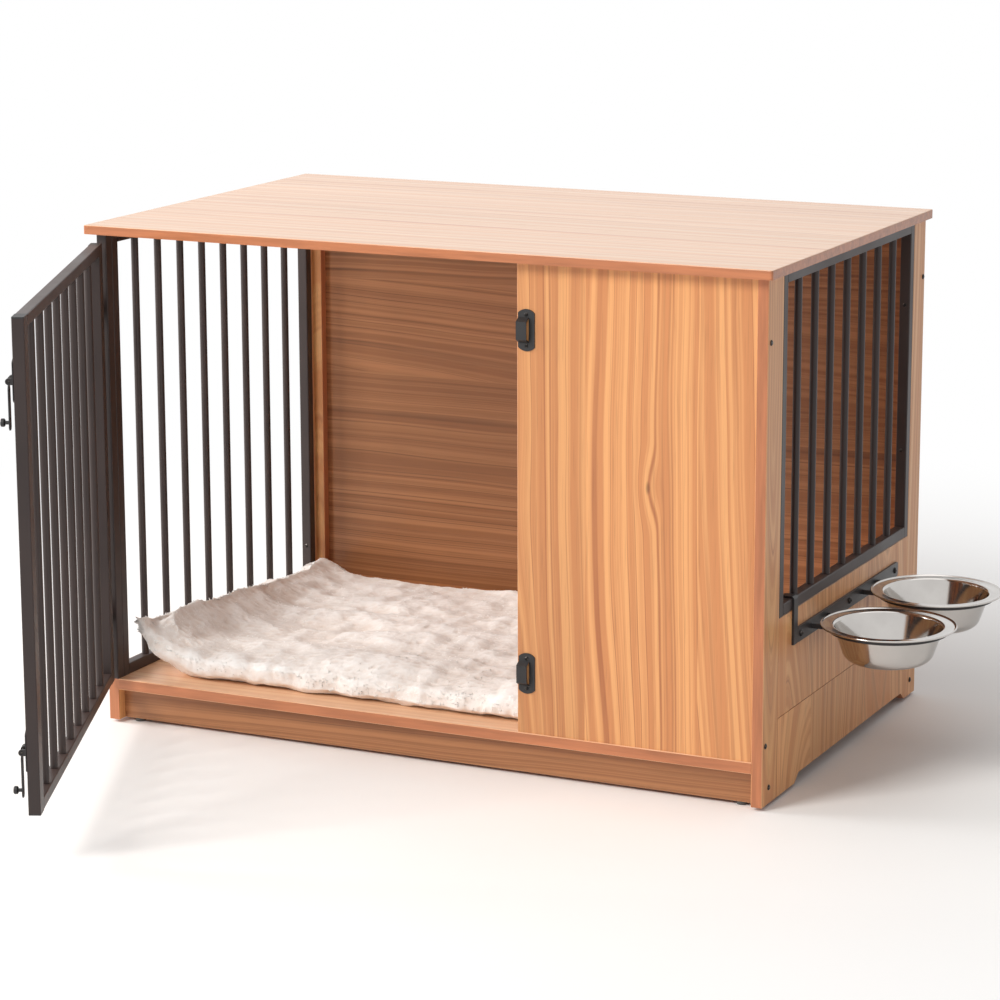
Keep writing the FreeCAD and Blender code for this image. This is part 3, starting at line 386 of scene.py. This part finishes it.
KNOT_X, KNOT_Z = 0.321, 0.402
upright = dict(grain="Z", face="X", pitch=1.5, plain=0.05)
lengthwise = dict(grain="X", face="Y", plain=0.34)
lying = dict(grain="X", face="Z", plain=0.55)
boards = {
    "front_panel": dict(grain="Z", face="Y", shift=(0.075, 0.0, 0.0), stave=0.155,
                        shares=PANEL_WOOD, knot=(KNOT_X + 0.075, 0.0, KNOT_Z)),
    "right_front_stile": dict(upright, shift=(0.1, 0.9, 0.1)),
    "right_rear_stile": dict(upright, shift=(0.5, 2.1, 0.0)),
    "right_upper_board": dict(upright, shift=(0.2, 3.3, 0.1), corner=SEAM_SHADE_COLOUR),
    "right_lower_board": dict(upright, shift=(0.4, 4.4, 0.2), corner=SEAM_SHADE_COLOUR),
    "left_base_board": dict(upright, shift=(0.3, 5.2, 0.0)),
    "left_rear_stile": dict(upright, shift=(0.1, 6.2, 0.1)),
    "rear_corner_batten": dict(grain="Z", face="Y", shift=(0.1, 7.0, 0.0)),
    "front_kickboard": dict(lengthwise, shift=(0.1, 1.2, 0.2), shares=PAINTED_SHADE_WOOD),
    "rear_kickboard": dict(lengthwise, shift=(0.1, 8.2, 0.0)),
    "back_panel": dict(lengthwise, shift=(-0.3, 9.3, 0.1), shares=PAINTED_SHADE_WOOD, stave=0.14),
    "floor_support": dict(lengthwise, shift=(0.1, 10.0, 0.0)),
    "floor_board": dict(lying, shift=(0.2, 11.0, 0.0), shares=PAINTED_GLARE_WOOD),
    "table_top": dict(lying, shift=(0.15, 12.4, 0.0), shares=PAINTED_GLARE_WOOD, gloss=0.22, pitch=0.8,
                      stave=0.16),
}
for node_name, recipe in boards.items():
    dress([node_name], wood_laminate("laminate_" + node_name, **recipe))
print("boards dressed:", len(boards))


# %% [markdown]
# ## Powder coat on the cage
#
# Square tube and round bars are welded, then sprayed with dry paint that melts in an oven. It
# dries to a skin like orange peel: dark, slightly brown, half dull. The skin is a bump of fine
# noise, and a slow noise moves the dullness a little, as rubbed and dusty places do.

# %% Paint for frame, hinges and latches
def powder_coat(name, deep, raised, roughness, peel=520.0):
    """Dark paint: deep and raised colours follow slow noise, upward faces are lighter as dust and
    painted highlight, and fine noise bumps the skin.
    """
    material, tree, shader = new_finish(name)
    source = add(tree, "TexCoord")
    place = source.outputs["Object"]
    skin = add(tree, "TexNoise", {"Vector": place, "Scale": peel, "Detail": 2.0}).outputs[0]
    slow = add(tree, "TexNoise", {"Vector": place, "Scale": 9.0, "Detail": 3.0}).outputs[0]
    height = add(tree, "SeparateXYZ", {0: source.outputs["Normal"]}).outputs[2]
    # Painted highlight and dust: upward faces turn lighter, for glare on the tops and settled dust.
    dust_and_top_glare = add(tree, "MapRange", {0: height, 1: 0.6, 2: 1.0, 3: 0.0, 4: 0.35}).outputs[0]
    share = calc(tree, "ADD", calc(tree, "MULTIPLY", slow, 0.6), dust_and_top_glare)
    tree.links.new(blend_colour(tree, share, deep, raised), shader.inputs["Base Color"])
    dull = add(tree, "MapRange", {0: slow, 1: 0.3, 2: 0.7, 3: roughness - 0.05,
                                  4: roughness + 0.08}).outputs[0]
    tree.links.new(dull, shader.inputs["Roughness"])
    shader.inputs["Specular IOR Level"].default_value = 0.4
    bump = add(tree, "Bump", {"Height": skin, "Strength": 0.22, "Distance": 0.0002})
    tree.links.new(bump.outputs[0], shader.inputs["Normal"])
    return material


cage_paint = powder_coat("cage_powder_coat", colour(40, 31, 30), colour(74, 60, 56), 0.42)
hardware_paint = powder_coat("hardware_black", colour(34, 31, 31), colour(60, 56, 57), 0.36, 700.0)
cage_nodes = [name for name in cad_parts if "grille_" in name and "screws" not in name]
cage_nodes += ["hinge_post", "door_hinge_stile", "door_free_stile", "door_bottom_rail",
               "door_top_rail", "door_bars"]
hardware_nodes = ["hinge_leaves", "hinge_straps", "latch_plates", "latch_lugs", "bowl_holder_bar",
                  "bowl_holder_hook", "front_bowl_ring", "rear_bowl_ring"]
dress(cage_nodes, cage_paint)
dress(hardware_nodes, hardware_paint)
print("painted nodes:", len(cage_nodes), "+", len(hardware_nodes))


# %% [markdown]
# ## Moulded plastic, and small blackened screws
#
# Keepers, caps and glides come out of a mould that was spark-eroded, so they have an even fine
# sandy grain and no shine. The screws are blackened zinc: a dark metal whose high spots rub
# bright. The bolts slide in their lugs, so they get the same metal with lines along the slide.

# %% Plastic and blackened metal
def moulded_plastic(name, tint, roughness):
    """Dull plastic with a sandy grain of two sizes of noise."""
    material, tree, shader = new_finish(name)
    place = add(tree, "TexCoord").outputs["Object"]
    sand = add(tree, "TexNoise", {"Vector": place, "Scale": 1600.0, "Detail": 1.0}).outputs[0]
    cloud = add(tree, "TexNoise", {"Vector": place, "Scale": 40.0}).outputs[0]
    paler = tuple(min(1.0, v * 1.8 + 0.004) for v in tint[:3]) + (1.0,)
    tree.links.new(blend_colour(tree, cloud, tint, paler), shader.inputs["Base Color"])
    dull = add(tree, "MapRange", {0: sand, 3: roughness - 0.06, 4: roughness + 0.08}).outputs[0]
    tree.links.new(dull, shader.inputs["Roughness"])
    bump = add(tree, "Bump", {"Height": sand, "Strength": 0.15, "Distance": 0.0001})
    tree.links.new(bump.outputs[0], shader.inputs["Normal"])
    return material


def blackened_metal(name, tint, bright, lines):
    """Dark metal whose rubbed places, from noise stretched by lines, turn bright and smooth."""
    material, tree, shader = new_finish(name)
    place = add(tree, "Mapping", {"Vector": add(tree, "TexCoord").outputs["Object"],
                                  "Scale": lines}).outputs[0]
    rub = add(tree, "TexNoise", {"Vector": place, "Scale": 1.0, "Detail": 3.0}).outputs[0]
    share = add(tree, "MapRange", {0: rub, 1: 0.5, 2: 0.75, 3: 0.0, 4: 0.8}).outputs[0]
    tree.links.new(blend_colour(tree, share, tint, bright), shader.inputs["Base Color"])
    tree.links.new(add(tree, "MapRange", {0: rub, 3: 0.5, 4: 0.25}).outputs[0],
                   shader.inputs["Roughness"])
    shader.inputs["Metallic"].default_value = 0.7
    return material


dress(["latch_keepers", "door_stile_caps", "lower_latch_handle", "upper_latch_handle"],
      moulded_plastic("moulded_black", colour(26, 25, 26), 0.46))
dress(["floor_glides"], moulded_plastic("glide_plastic", colour(60, 58, 56), 0.55))
screw_nodes = [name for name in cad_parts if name.endswith("_screws")]
dress(screw_nodes, blackened_metal("blackened_screw", colour(34, 31, 30), colour(120, 112, 106),
                                   (300.0, 300.0, 300.0)))
dress(["hinge_pins", "lower_latch_bolt", "upper_latch_bolt"],
      blackened_metal("rubbed_bolt", colour(44, 40, 39), colour(150, 144, 138),
                      (90.0, 90.0, 900.0)))
print("screw nodes:", len(screw_nodes))


# %% [markdown]
# ## Domed screws on the bowl bar
#
# The frame's screws sit in the bar with plain low heads. On the real bar the heads stand proud as
# small domes with a hexagon socket, and they catch the light. A dome is a half section turned
# round its own axis, so the turning helper comes first; it will make the bowls as well. The
# socket is a second, six-sided sweep of the middle part, which is why the helper takes a function
# for how far out each direction reaches.

# %% Turn a half section round an axis
def mesh_piece(name, points, faces):
    """A smooth object at the origin from an array of points and a list of faces."""
    mesh = bpy.data.meshes.new(name)
    mesh.from_pydata(points.tolist(), [], faces)
    mesh.validate()
    mesh.polygons.foreach_set("use_smooth", [True] * len(mesh.polygons))
    piece = bpy.data.objects.new(name, mesh)
    bpy.context.scene.collection.objects.link(piece)
    return piece


def turned_points(section, steps, six_sided=None):
    """Points and faces of a half section, given as (radius, height), swept once round Z.

    Row i, step j lies at radius times (cos, sin) of the angle 2 pi j / steps. Where six_sided is
    true for a row, its radius is multiplied by cos(30 degrees) over the cosine of the angle to the
    nearest flat's middle, which makes that row a hexagon. Both ends close on a pole."""
    angle = np.arange(steps) * (2 * math.pi / steps)
    ring = section[1:-1]
    reach = np.ones((len(ring), steps))
    if six_sided is not None:
        to_flat = (angle + math.pi / 6) % (math.pi / 3) - math.pi / 6
        hexagon = math.cos(math.pi / 6) / np.cos(to_flat)
        reach = np.where(np.array(six_sided)[1:-1, None], hexagon[None, :], 1.0)
    x = ring[:, :1] * reach * np.cos(angle)
    y = ring[:, :1] * reach * np.sin(angle)
    z = np.repeat(ring[:, 1][:, None], steps, 1)
    points = np.concatenate([np.stack([x, y, z], 2).reshape(-1, 3),
                             [[0, 0, section[0, 1]]], [[0, 0, section[-1, 1]]]])
    i, j = np.meshgrid(np.arange(len(ring) - 1), np.arange(steps), indexing="ij")
    nxt = (j + 1) % steps
    quads = np.stack([i * steps + j, i * steps + nxt, (i + 1) * steps + nxt, (i + 1) * steps + j],
                     2).reshape(-1, 4)
    k = np.arange(steps)
    pole, last = len(ring) * steps, (len(ring) - 1) * steps
    under = np.stack([np.full(steps, pole), (k + 1) % steps, k], 1)
    over = np.stack([np.full(steps, pole + 1), last + k, last + (k + 1) % steps], 1)
    return points, quads.tolist() + under.tolist() + over.tolist()


# %% Three domes with hexagon sockets
DOME_R, DOME_HEIGHT, SOCKET_R, SOCKET_DEPTH = 0.0042, 0.0026, 0.0016, 0.0015
DOME_BRIM, SOCKET_EASE = 0.0004, 0.0002
BAR_FACE_X, BAR_MIDDLE_Y, BAR_MIDDLE_Z, SCREW_PITCH = 0.483, 0.009, 0.203, 0.184

arc = np.linspace(0, 1, 8)[:-1] * (math.pi / 2 - math.asin(SOCKET_R / DOME_R * 0.9))
dome_line = np.stack([DOME_R * np.cos(arc),
                      DOME_BRIM + (DOME_HEIGHT - DOME_BRIM) * np.sin(arc)], 1)
top = dome_line[-1, 1]
socket_line = [[SOCKET_R, top + SOCKET_EASE / 2], [SOCKET_R * 0.92, top - SOCKET_EASE],
               [SOCKET_R * 0.9, top - SOCKET_DEPTH], [0, top - SOCKET_DEPTH - SOCKET_EASE]]
dome_section = np.concatenate([[[0, 0], [DOME_R, 0]], dome_line, socket_line])
is_socket = [False] * (len(dome_section) - 3) + [True] * 3
dome, dome_faces = turned_points(dome_section, 24, is_socket)
dome = dome[:, [2, 0, 1]]
places = [(BAR_FACE_X, BAR_MIDDLE_Y + k * SCREW_PITCH, BAR_MIDDLE_Z) for k in (-1, 0, 1)]
domes = np.concatenate([dome + np.array(place) for place in places])
faces = [[v + k * len(dome) for v in face] for k in range(3) for face in dome_faces]
screw_domes = mesh_piece("holder_screw_domes", domes, faces)
screw_domes.data.materials.append(bpy.data.materials["blackened_screw"])
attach(screw_domes, "cabinet")
print("domes:", len(places), "with", len(screw_domes.data.polygons), "faces")

# %% [markdown]
# ## Two spun steel bowls
#
# A bowl like this is a flat disc pressed over a form while it turns, and its rim is flanged and
# rolled over. Turning is the natural way to draw it as well: one half section swept once round
# gives the whole bowl, inside and out. The frame's bowl has straight facets, and polished steel
# shows each of them, so both are swept again here with many more steps from the same sizes.

# %% The half section of a bowl
BOWL_X = 0.576
BOWL_Y = {"front_bowl": -0.105, "rear_bowl": 0.091}
RIM_R, BODY_R, FOOT_R, HEEL_R = 0.088, 0.071, 0.042, 0.018
WALL, LIP_R, NECK_R, RIM_DISH = 0.001, 0.0013, 0.0022, 0.0004
REST_Z, BOWL_HEIGHT = 0.206, 0.048


def bowl_line(inset):
    """Foot, round heel, leaning wall and flange as (radius, height) points, moved in by inset.

    The wall is the straight line from the flange's root that just touches the heel's circle."""
    foot_z = REST_Z + WALL - BOWL_HEIGHT
    heel_r = HEEL_R - inset
    centre = np.array([FOOT_R, foot_z + HEEL_R])
    neck = np.array([BODY_R - inset, REST_Z + inset])
    reach = neck - centre
    touch = math.atan2(reach[1], reach[0]) - math.acos(heel_r / np.hypot(*reach))
    angle = np.linspace(-math.pi / 2, touch, 14)
    heel = centre + heel_r * np.stack([np.cos(angle), np.sin(angle)], 1)
    flat = np.stack([np.linspace(0.0, FOOT_R, 9)[:-1], np.full(8, heel[0, 1])], 1)
    wall = heel[-1] + (neck - heel[-1]) * np.linspace(0, 1, 12)[1:-1, None]
    round_r = NECK_R + inset
    bend = np.linspace(0, math.pi / 2, 6)
    lean = (neck - heel[-1]) / np.hypot(*(neck - heel[-1]))
    start = neck - lean * round_r
    finish = neck + np.array([round_r, 0.0])
    root = ((1 - np.sin(bend)) * (1 - np.sin(bend)))[:, None] * start
    root = root + (2 * np.sin(bend) * (1 - np.sin(bend)))[:, None] * neck
    root = root + (np.sin(bend) ** 2)[:, None] * finish
    edge = RIM_R - LIP_R * (1 if inset == 0 else 2)
    flange = np.stack([np.linspace(finish[0], edge, 8)[1:], np.full(7, neck[1])], 1)
    flange[:, 1] -= RIM_DISH * np.sin(np.linspace(0, math.pi, 8)[1:])
    return np.concatenate([flat, heel, wall, root, flange])


def bowl_section():
    """One closed half section: the outside up to the rolled lip, then the inside down again."""
    outer, inner = bowl_line(0.0), bowl_line(WALL)
    angle = np.linspace(-math.pi / 2, math.pi / 2, 9)
    lip_centre = np.array([RIM_R - LIP_R, REST_Z + LIP_R])
    lip = lip_centre + LIP_R * np.stack([np.cos(angle), np.sin(angle)], 1)
    return np.concatenate([outer[:-1], lip, inner[::-1]])


print("section points:", len(bowl_section()))


# %% [markdown]
# Spinning leaves faint rings round the axis. They come from noise of the distance from the
# bowl's own middle, which catches light as a soft fan, as a real spun bowl does.

# %% Spun steel
def spun_steel(name, middle):
    """Polished metal with ring marks: noise of the distance from the middle bumps and dulls it."""
    material, tree, shader = new_finish(name)
    place = add(tree, "Mapping", {"Vector": add(tree, "TexCoord").outputs["Object"],
                                  "Location": (-middle[0], -middle[1], 0.0)}).outputs[0]
    flat = add(tree, "VectorMath", {0: place, 1: (1.0, 1.0, 0.0)}, operation="MULTIPLY").outputs[0]
    radius = add(tree, "VectorMath", {0: flat}, operation="LENGTH").outputs["Value"]
    marks = add(tree, "TexNoise", {"W": radius, "Scale": 1500.0, "Detail": 2.0},
                noise_dimensions="1D").outputs[0]
    smear = add(tree, "TexNoise", {"Vector": place, "Scale": 28.0, "Detail": 3.0}).outputs[0]
    tree.links.new(blend_colour(tree, smear, colour(184, 180, 176), colour(206, 202, 198)),
                   shader.inputs["Base Color"])
    shader.inputs["Metallic"].default_value = 1.0
    dull = calc(tree, "MULTIPLY_ADD", smear, 0.10, 0.04)
    tree.links.new(calc(tree, "MULTIPLY_ADD", marks, 0.06, dull), shader.inputs["Roughness"])
    bump = add(tree, "Bump", {"Height": marks, "Strength": 0.08, "Distance": 0.0002})
    tree.links.new(bump.outputs[0], shader.inputs["Normal"])
    return material


for node_name, y in BOWL_Y.items():
    points, faces = turned_points(bowl_section(), 120)
    bowl = mesh_piece("spun_" + node_name, points + np.array([BOWL_X, y, 0.0]), faces)
    bowl.data.materials.append(spun_steel("spun_steel_" + node_name, (BOWL_X, y)))
    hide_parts(node_name)
    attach(bowl, node_name + "_loose")
    print(bowl.name, len(bowl.data.polygons), "faces")


# %% [markdown]
# ## The fleece pad
#
# The pad is a wad of fibre in a long-haired fleece cover. It is too long for the floor, so its
# left side climbs the bars. Modelling its bulges by hand looks stiff. Instead a copy of the
# frame's plain pad is made a little thinner, given an even net, and blown up as cloth under light
# pressure, which is how the filling presses the cover outwards. No point may move further than
# PAD_REACH. Folds, clumps of pile and short tufts come afterwards, on top of that shape.

# %% A thin copy with an even net
PAD_VOXEL = 0.0064
PAD_INSET = 0.002
PAD_REACH = 0.014
PRESSURE, SPRING, BENDING, COVER_MASS, FRAMES = 5.0, 12.0, 0.4, 0.25, 20

source_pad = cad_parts["fleece_pad"]
pad_low, pad_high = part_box("fleece_pad")
pad = bpy.data.objects.new("fleece_cushion", source_pad.data.copy())
bpy.context.scene.collection.objects.link(pad)


def apply_all(piece):
    """Makes the piece's modifiers part of its mesh."""
    graph = bpy.context.evaluated_depsgraph_get()
    shaped = bpy.data.meshes.new_from_object(piece.evaluated_get(graph))
    old = piece.data
    piece.modifiers.clear()
    piece.data = shaped
    bpy.data.meshes.remove(old)


def points_of(mesh):
    """The mesh's points as an array of rows x, y, z."""
    flat = np.zeros(len(mesh.vertices) * 3)
    mesh.vertices.foreach_get("co", flat)
    return flat.reshape(-1, 3)


def normals_of(mesh):
    """The outward direction at each point, as an array."""
    flat = np.zeros(len(mesh.vertices) * 3)
    mesh.vertex_normals.foreach_get("vector", flat)
    return flat.reshape(-1, 3)


def set_points(mesh, points):
    """Moves the mesh's points."""
    mesh.vertices.foreach_set("co", points.ravel())
    mesh.update()


weld = pad.modifiers.new("weld", "WELD")
weld.merge_threshold = 0.00002
even = pad.modifiers.new("even_net", "REMESH")
even.mode = "VOXEL"
even.voxel_size = PAD_VOXEL
even.use_smooth_shade = True
apply_all(pad)
thin = points_of(pad.data) - normals_of(pad.data) * PAD_INSET
set_points(pad.data, thin)
print("pad net:", len(pad.data.vertices), "points")

# %% Blow it up as cloth
cloth = pad.modifiers.new("cover", "CLOTH")
cloth.settings.quality = 6
cloth.settings.mass = COVER_MASS
cloth.settings.tension_stiffness = SPRING
cloth.settings.compression_stiffness = SPRING
cloth.settings.bending_stiffness = BENDING
cloth.settings.use_pressure = True
cloth.settings.uniform_pressure_force = PRESSURE
cloth.settings.effector_weights.gravity = 0.0
cloth.collision_settings.use_collision = False
scene = bpy.context.scene
for step in range(1, FRAMES + 1):
    scene.frame_set(step)
apply_all(pad)
scene.frame_set(1)
moved = points_of(pad.data) - thin
size = np.linalg.norm(moved, axis=1, keepdims=True)
moved *= np.minimum(1.0, PAD_REACH / np.maximum(size, 1e-9))
set_points(pad.data, thin + moved)
print("swelling, mean and most in mm:", round(float(size.mean()) * 1000, 1),
      round(float(size.max()) * 1000, 1))

# %% [markdown]
# The cover isn't smooth. Where the pad lies loose it has long shallow folds, and the pile stands
# in clumps. Both are waves: a fold is a long wave along the pad, a clump is a sum of short waves
# in many directions. A seeded sum of cosines gives the same surface each time. The sewn corners
# pull in: a point past both sides of a corner square moves so that the square becomes a quarter
# disc. The front edge, where the filling is thickest, is plumped by a short hump.

# %% Folds, clumps and round corners
def wave_noise(points, length, seed, count=28, stretch=(1.0, 1.0, 1.0)):
    """Sum of cosines of random directions, each about length long, scaled to about -1 to 1.

    Each wave is cos(direction dot point + phase), with its length drawn from 0.7 to 1.4 times."""
    chance = np.random.default_rng(seed)
    direction = chance.normal(size=(count, 3))
    direction /= np.linalg.norm(direction, axis=1, keepdims=True)
    direction *= (2 * math.pi / (length * chance.uniform(0.7, 1.4, (count, 1))))
    direction = direction / np.array(stretch)
    phase = chance.uniform(0, 2 * math.pi, count)
    total = np.zeros(len(points))
    for wave, start in zip(direction, phase):
        total += np.cos(points @ wave + start)
    return total * math.sqrt(2.0 / count) / 2.0


PAD_CORNER_R = 0.034
PAD_PLUMP, PAD_PLUMP_RUN = 0.006, 0.012
FOLD_LENGTH, LUMP_LENGTH, CLUMP_LENGTH = 0.075, 0.040, 0.015
FOLD_DEPTH, LUMP_DEPTH, CLUMP_DEPTH, PILE_INSET = 0.0045, 0.0022, 0.0011, 0.001
SIDE_MARGIN, TOP_MARGIN = 0.0003, 0.004

smooth = pad.modifiers.new("finer_net", "SUBSURF")
smooth.levels = 1
smooth.render_levels = 1
apply_all(pad)
points = points_of(pad.data)
outward = normals_of(pad.data)
upper = np.clip((outward[:, 2] + 0.2) / 0.7, 0.0, 1.0)
folds = wave_noise(points, FOLD_LENGTH, 3, stretch=(3.6, 1.0, 1.0))
folds = np.sign(folds) * np.abs(folds) ** 0.8
lumps = wave_noise(points, LUMP_LENGTH, 5, 40)
clumps = wave_noise(points, CLUMP_LENGTH, 7, 60)
depth = upper * FOLD_DEPTH * folds + LUMP_DEPTH * lumps - CLUMP_DEPTH * np.abs(clumps) - PILE_INSET
points = points + outward * depth[:, None]

corner = np.array([pad_high.x - pad_low.x, pad_high.y - pad_low.y]) / 2
centre = np.array([pad_high.x + pad_low.x, pad_high.y + pad_low.y]) / 2
inner = points[:, :2] - centre
past = np.maximum(np.abs(inner) - (corner - PAD_CORNER_R), 0.0)
both = (past > 0).all(1)
shrink = np.where(both, past.max(1) / np.maximum(np.hypot(past[:, 0], past[:, 1]), 1e-9), 1.0)
points[:, :2] = centre + inner + np.sign(inner) * past * (shrink - 1.0)[:, None]
from_front = (points[:, 1] - pad_low.y) / PAD_PLUMP_RUN
points[:, 2] += PAD_PLUMP * upper * from_front * np.exp(1.0 - from_front) * (from_front > 0)
lowest = np.array([pad_low.x + SIDE_MARGIN, pad_low.y + SIDE_MARGIN, pad_low.z])
highest = np.array(pad_high) + TOP_MARGIN
points = np.clip(points, lowest, highest)
set_points(pad.data, points)
# Painted shade: places pushed in by folds, lumps and clumps get a low value, which the fleece
# darkens.
hollow = (0.55 - 0.25 * np.abs(clumps) + 0.12 * folds + 0.10 * lumps).astype(np.float32)
pile = pad.data.attributes.new("painted_pile_shade", "FLOAT", "POINT")
pile.data.foreach_set("value", hollow)
pad.data.polygons.foreach_set("use_smooth", [True] * len(pad.data.polygons))
print("pad points:", len(points), "box:", points.min(0).round(3), points.max(0).round(3))


# %% [markdown]
# The cover's outline is what shows that it is hair. A bump can't change an outline, so short
# tufts are added as a mesh of their own: each is a bent three-sided spike of a few faces, rooted
# in the pad and leaning along a slowly turning direction, as brushed pile does. Their roots are
# drawn from the pad's faces by a seeded chance, and all of them are worked out in one go.

# %% Tufts of pile
TUFTS = 14000
TUFT_LENGTH, TUFT_WIDTH = 0.0050, 0.0015
TUFT_ROOT, TUFT_BEND = 0.0012, 0.55
TUFT_ROOM = np.array([0.002, 0.002, 0.006])


def pile_tufts(name, base, count, seed):
    """Bent three-sided spikes on the pad's upper faces and edges.

    A spike's middle line is root + length times (t times lean + t squared times droop), with a
    ring of three points at t = 0 and t = TUFT_BEND and a point at t = 1. A spike that would reach
    out of the pad's box is moved back into it whole."""
    chance = np.random.default_rng(seed)
    number = len(base.polygons)
    middle, outward, area = np.zeros(number * 3), np.zeros(number * 3), np.zeros(number)
    base.polygons.foreach_get("center", middle)
    base.polygons.foreach_get("normal", outward)
    base.polygons.foreach_get("area", area)
    middle, outward = middle.reshape(-1, 3), outward.reshape(-1, 3)
    weight = area * (outward[:, 2] > -0.25) * (0.5 + 3.0 * (np.abs(outward[:, 2]) < 0.8))
    pick = chance.choice(number, count, p=weight / weight.sum())
    root, out = middle[pick], outward[pick]
    heading = 2.2 * wave_noise(root, 0.16, seed + 1) + chance.normal(0, 0.9, count) - 1.2
    flow = np.stack([np.cos(heading), np.sin(heading), np.zeros(count)], 1)
    flow -= out * np.sum(flow * out, 1, keepdims=True)
    flow /= np.maximum(np.linalg.norm(flow, axis=1, keepdims=True), 1e-6)
    length = TUFT_LENGTH * chance.uniform(0.6, 1.25, (count, 1))
    rise = chance.uniform(0.10, 0.32, (count, 1))
    side = np.cross(out, flow)
    rings = []
    for t, width in ((0.0, 1.0), (TUFT_BEND, 0.85)):
        line = root - out * TUFT_ROOT
        line = line + length * (t * (out * rise + flow * 0.9) - t * t * 0.12 * out)
        for k in range(3):
            angle = 2 * math.pi * k / 3
            around = side * math.cos(angle) + out * math.sin(angle) * 0.6
            rings.append(line + TUFT_WIDTH * width * around)
    tip = root + length * (out * (rise - 0.16) + flow)
    points = np.stack(rings + [tip], 1)
    points += np.maximum(lowest - points.min(1), 0.0)[:, None]
    points -= np.maximum(points.max(1) - (highest + TUFT_ROOM), 0.0)[:, None]
    points = points.reshape(-1, 3)
    pattern = np.array([[0, 1, 4, 3], [1, 2, 5, 4], [2, 0, 3, 5]])
    cap = np.array([[3, 4, 6], [4, 5, 6], [5, 3, 6]])
    start = (np.arange(count) * 7)[:, None, None]
    faces = (pattern + start).reshape(-1, 4).tolist() + (cap + start).reshape(-1, 3).tolist()
    faces += (np.array([[2, 1, 0]]) + start).reshape(-1, 3).tolist()
    return mesh_piece(name, points, faces)


pile_mesh = pile_tufts("fleece_pile", pad.data, TUFTS, 11)
shade_of_pile = pile_mesh.data.attributes.new("painted_pile_shade", "FLOAT", "POINT")
# Painted shade: each tuft is darker at its root and lighter towards its tip.
tuft_root_shade = np.tile(np.array([0.55] * 3 + [0.62] * 3 + [0.75]), len(pile_mesh.data.vertices) // 7)
shade_of_pile.data.foreach_set("value", tuft_root_shade.astype(np.float32))
print("tufts:", len(pile_mesh.data.vertices) // 7, "faces:", len(pile_mesh.data.polygons))


# %% [markdown]
# Fleece is white hair with shade between the clumps. The material takes the depth that was just
# stored on the points and makes deep places a little darker and warmer: painted shade in the
# hollows and at the tufts' roots. Sheen on the shader gives the pale rim that hair shows against
# the light.

# %% Fleece
def fleece_cover(name):
    """Off-white pile: the stored depth darkens the hollows as painted shade, and two noises bump
    the hair.
    """
    material, tree, shader = new_finish(name)
    place = add(tree, "TexCoord").outputs["Object"]
    deep = add(tree, "Attribute", attribute_name="painted_pile_shade").outputs["Fac"]
    hair = add(tree, "TexNoise", {"Vector": place, "Scale": 420.0, "Detail": 4.0,
                                  "Roughness": 0.7}).outputs[0]
    curl = add(tree, "TexVoronoi", {"Vector": place, "Scale": 150.0}).outputs["Distance"]
    share = add(tree, "MapRange", {0: deep, 1: 0.15, 2: 0.65}).outputs[0]
    tone = blend_colour(tree, share, colour(226, 212, 202), colour(252, 249, 247))
    tone = blend_colour(tree, calc(tree, "MULTIPLY", hair, 0.35), tone, colour(255, 253, 250))
    tree.links.new(tone, shader.inputs["Base Color"])
    shader.inputs["Roughness"].default_value = 0.95
    shader.inputs["Sheen Weight"].default_value = 0.35
    shader.inputs["Sheen Roughness"].default_value = 0.5
    relief = calc(tree, "MULTIPLY_ADD", hair, 0.8, curl)
    bump = add(tree, "Bump", {"Height": relief, "Strength": 0.35, "Distance": 0.0012})
    tree.links.new(bump.outputs[0], shader.inputs["Normal"])
    return material


pad.data.materials.clear()
pad.data.materials.append(fleece_cover("fleece"))
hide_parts("fleece_pad")
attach(pad, "cabinet")
pile_mesh.data.materials.append(pad.data.materials[0])
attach(pile_mesh, "cabinet")

# %% [markdown]
# ## Finishes for the hidden nodes
#
# The frame's own pad and bowls are hidden behind the pieces that replace them, and they get the
# same finishes, so that no node is left bare.

# %% Finish the hidden nodes
dress(["fleece_pad"], pad.data.materials[0])
for node_name in BOWL_Y:
    dress([node_name], bpy.data.materials["spun_steel_" + node_name])
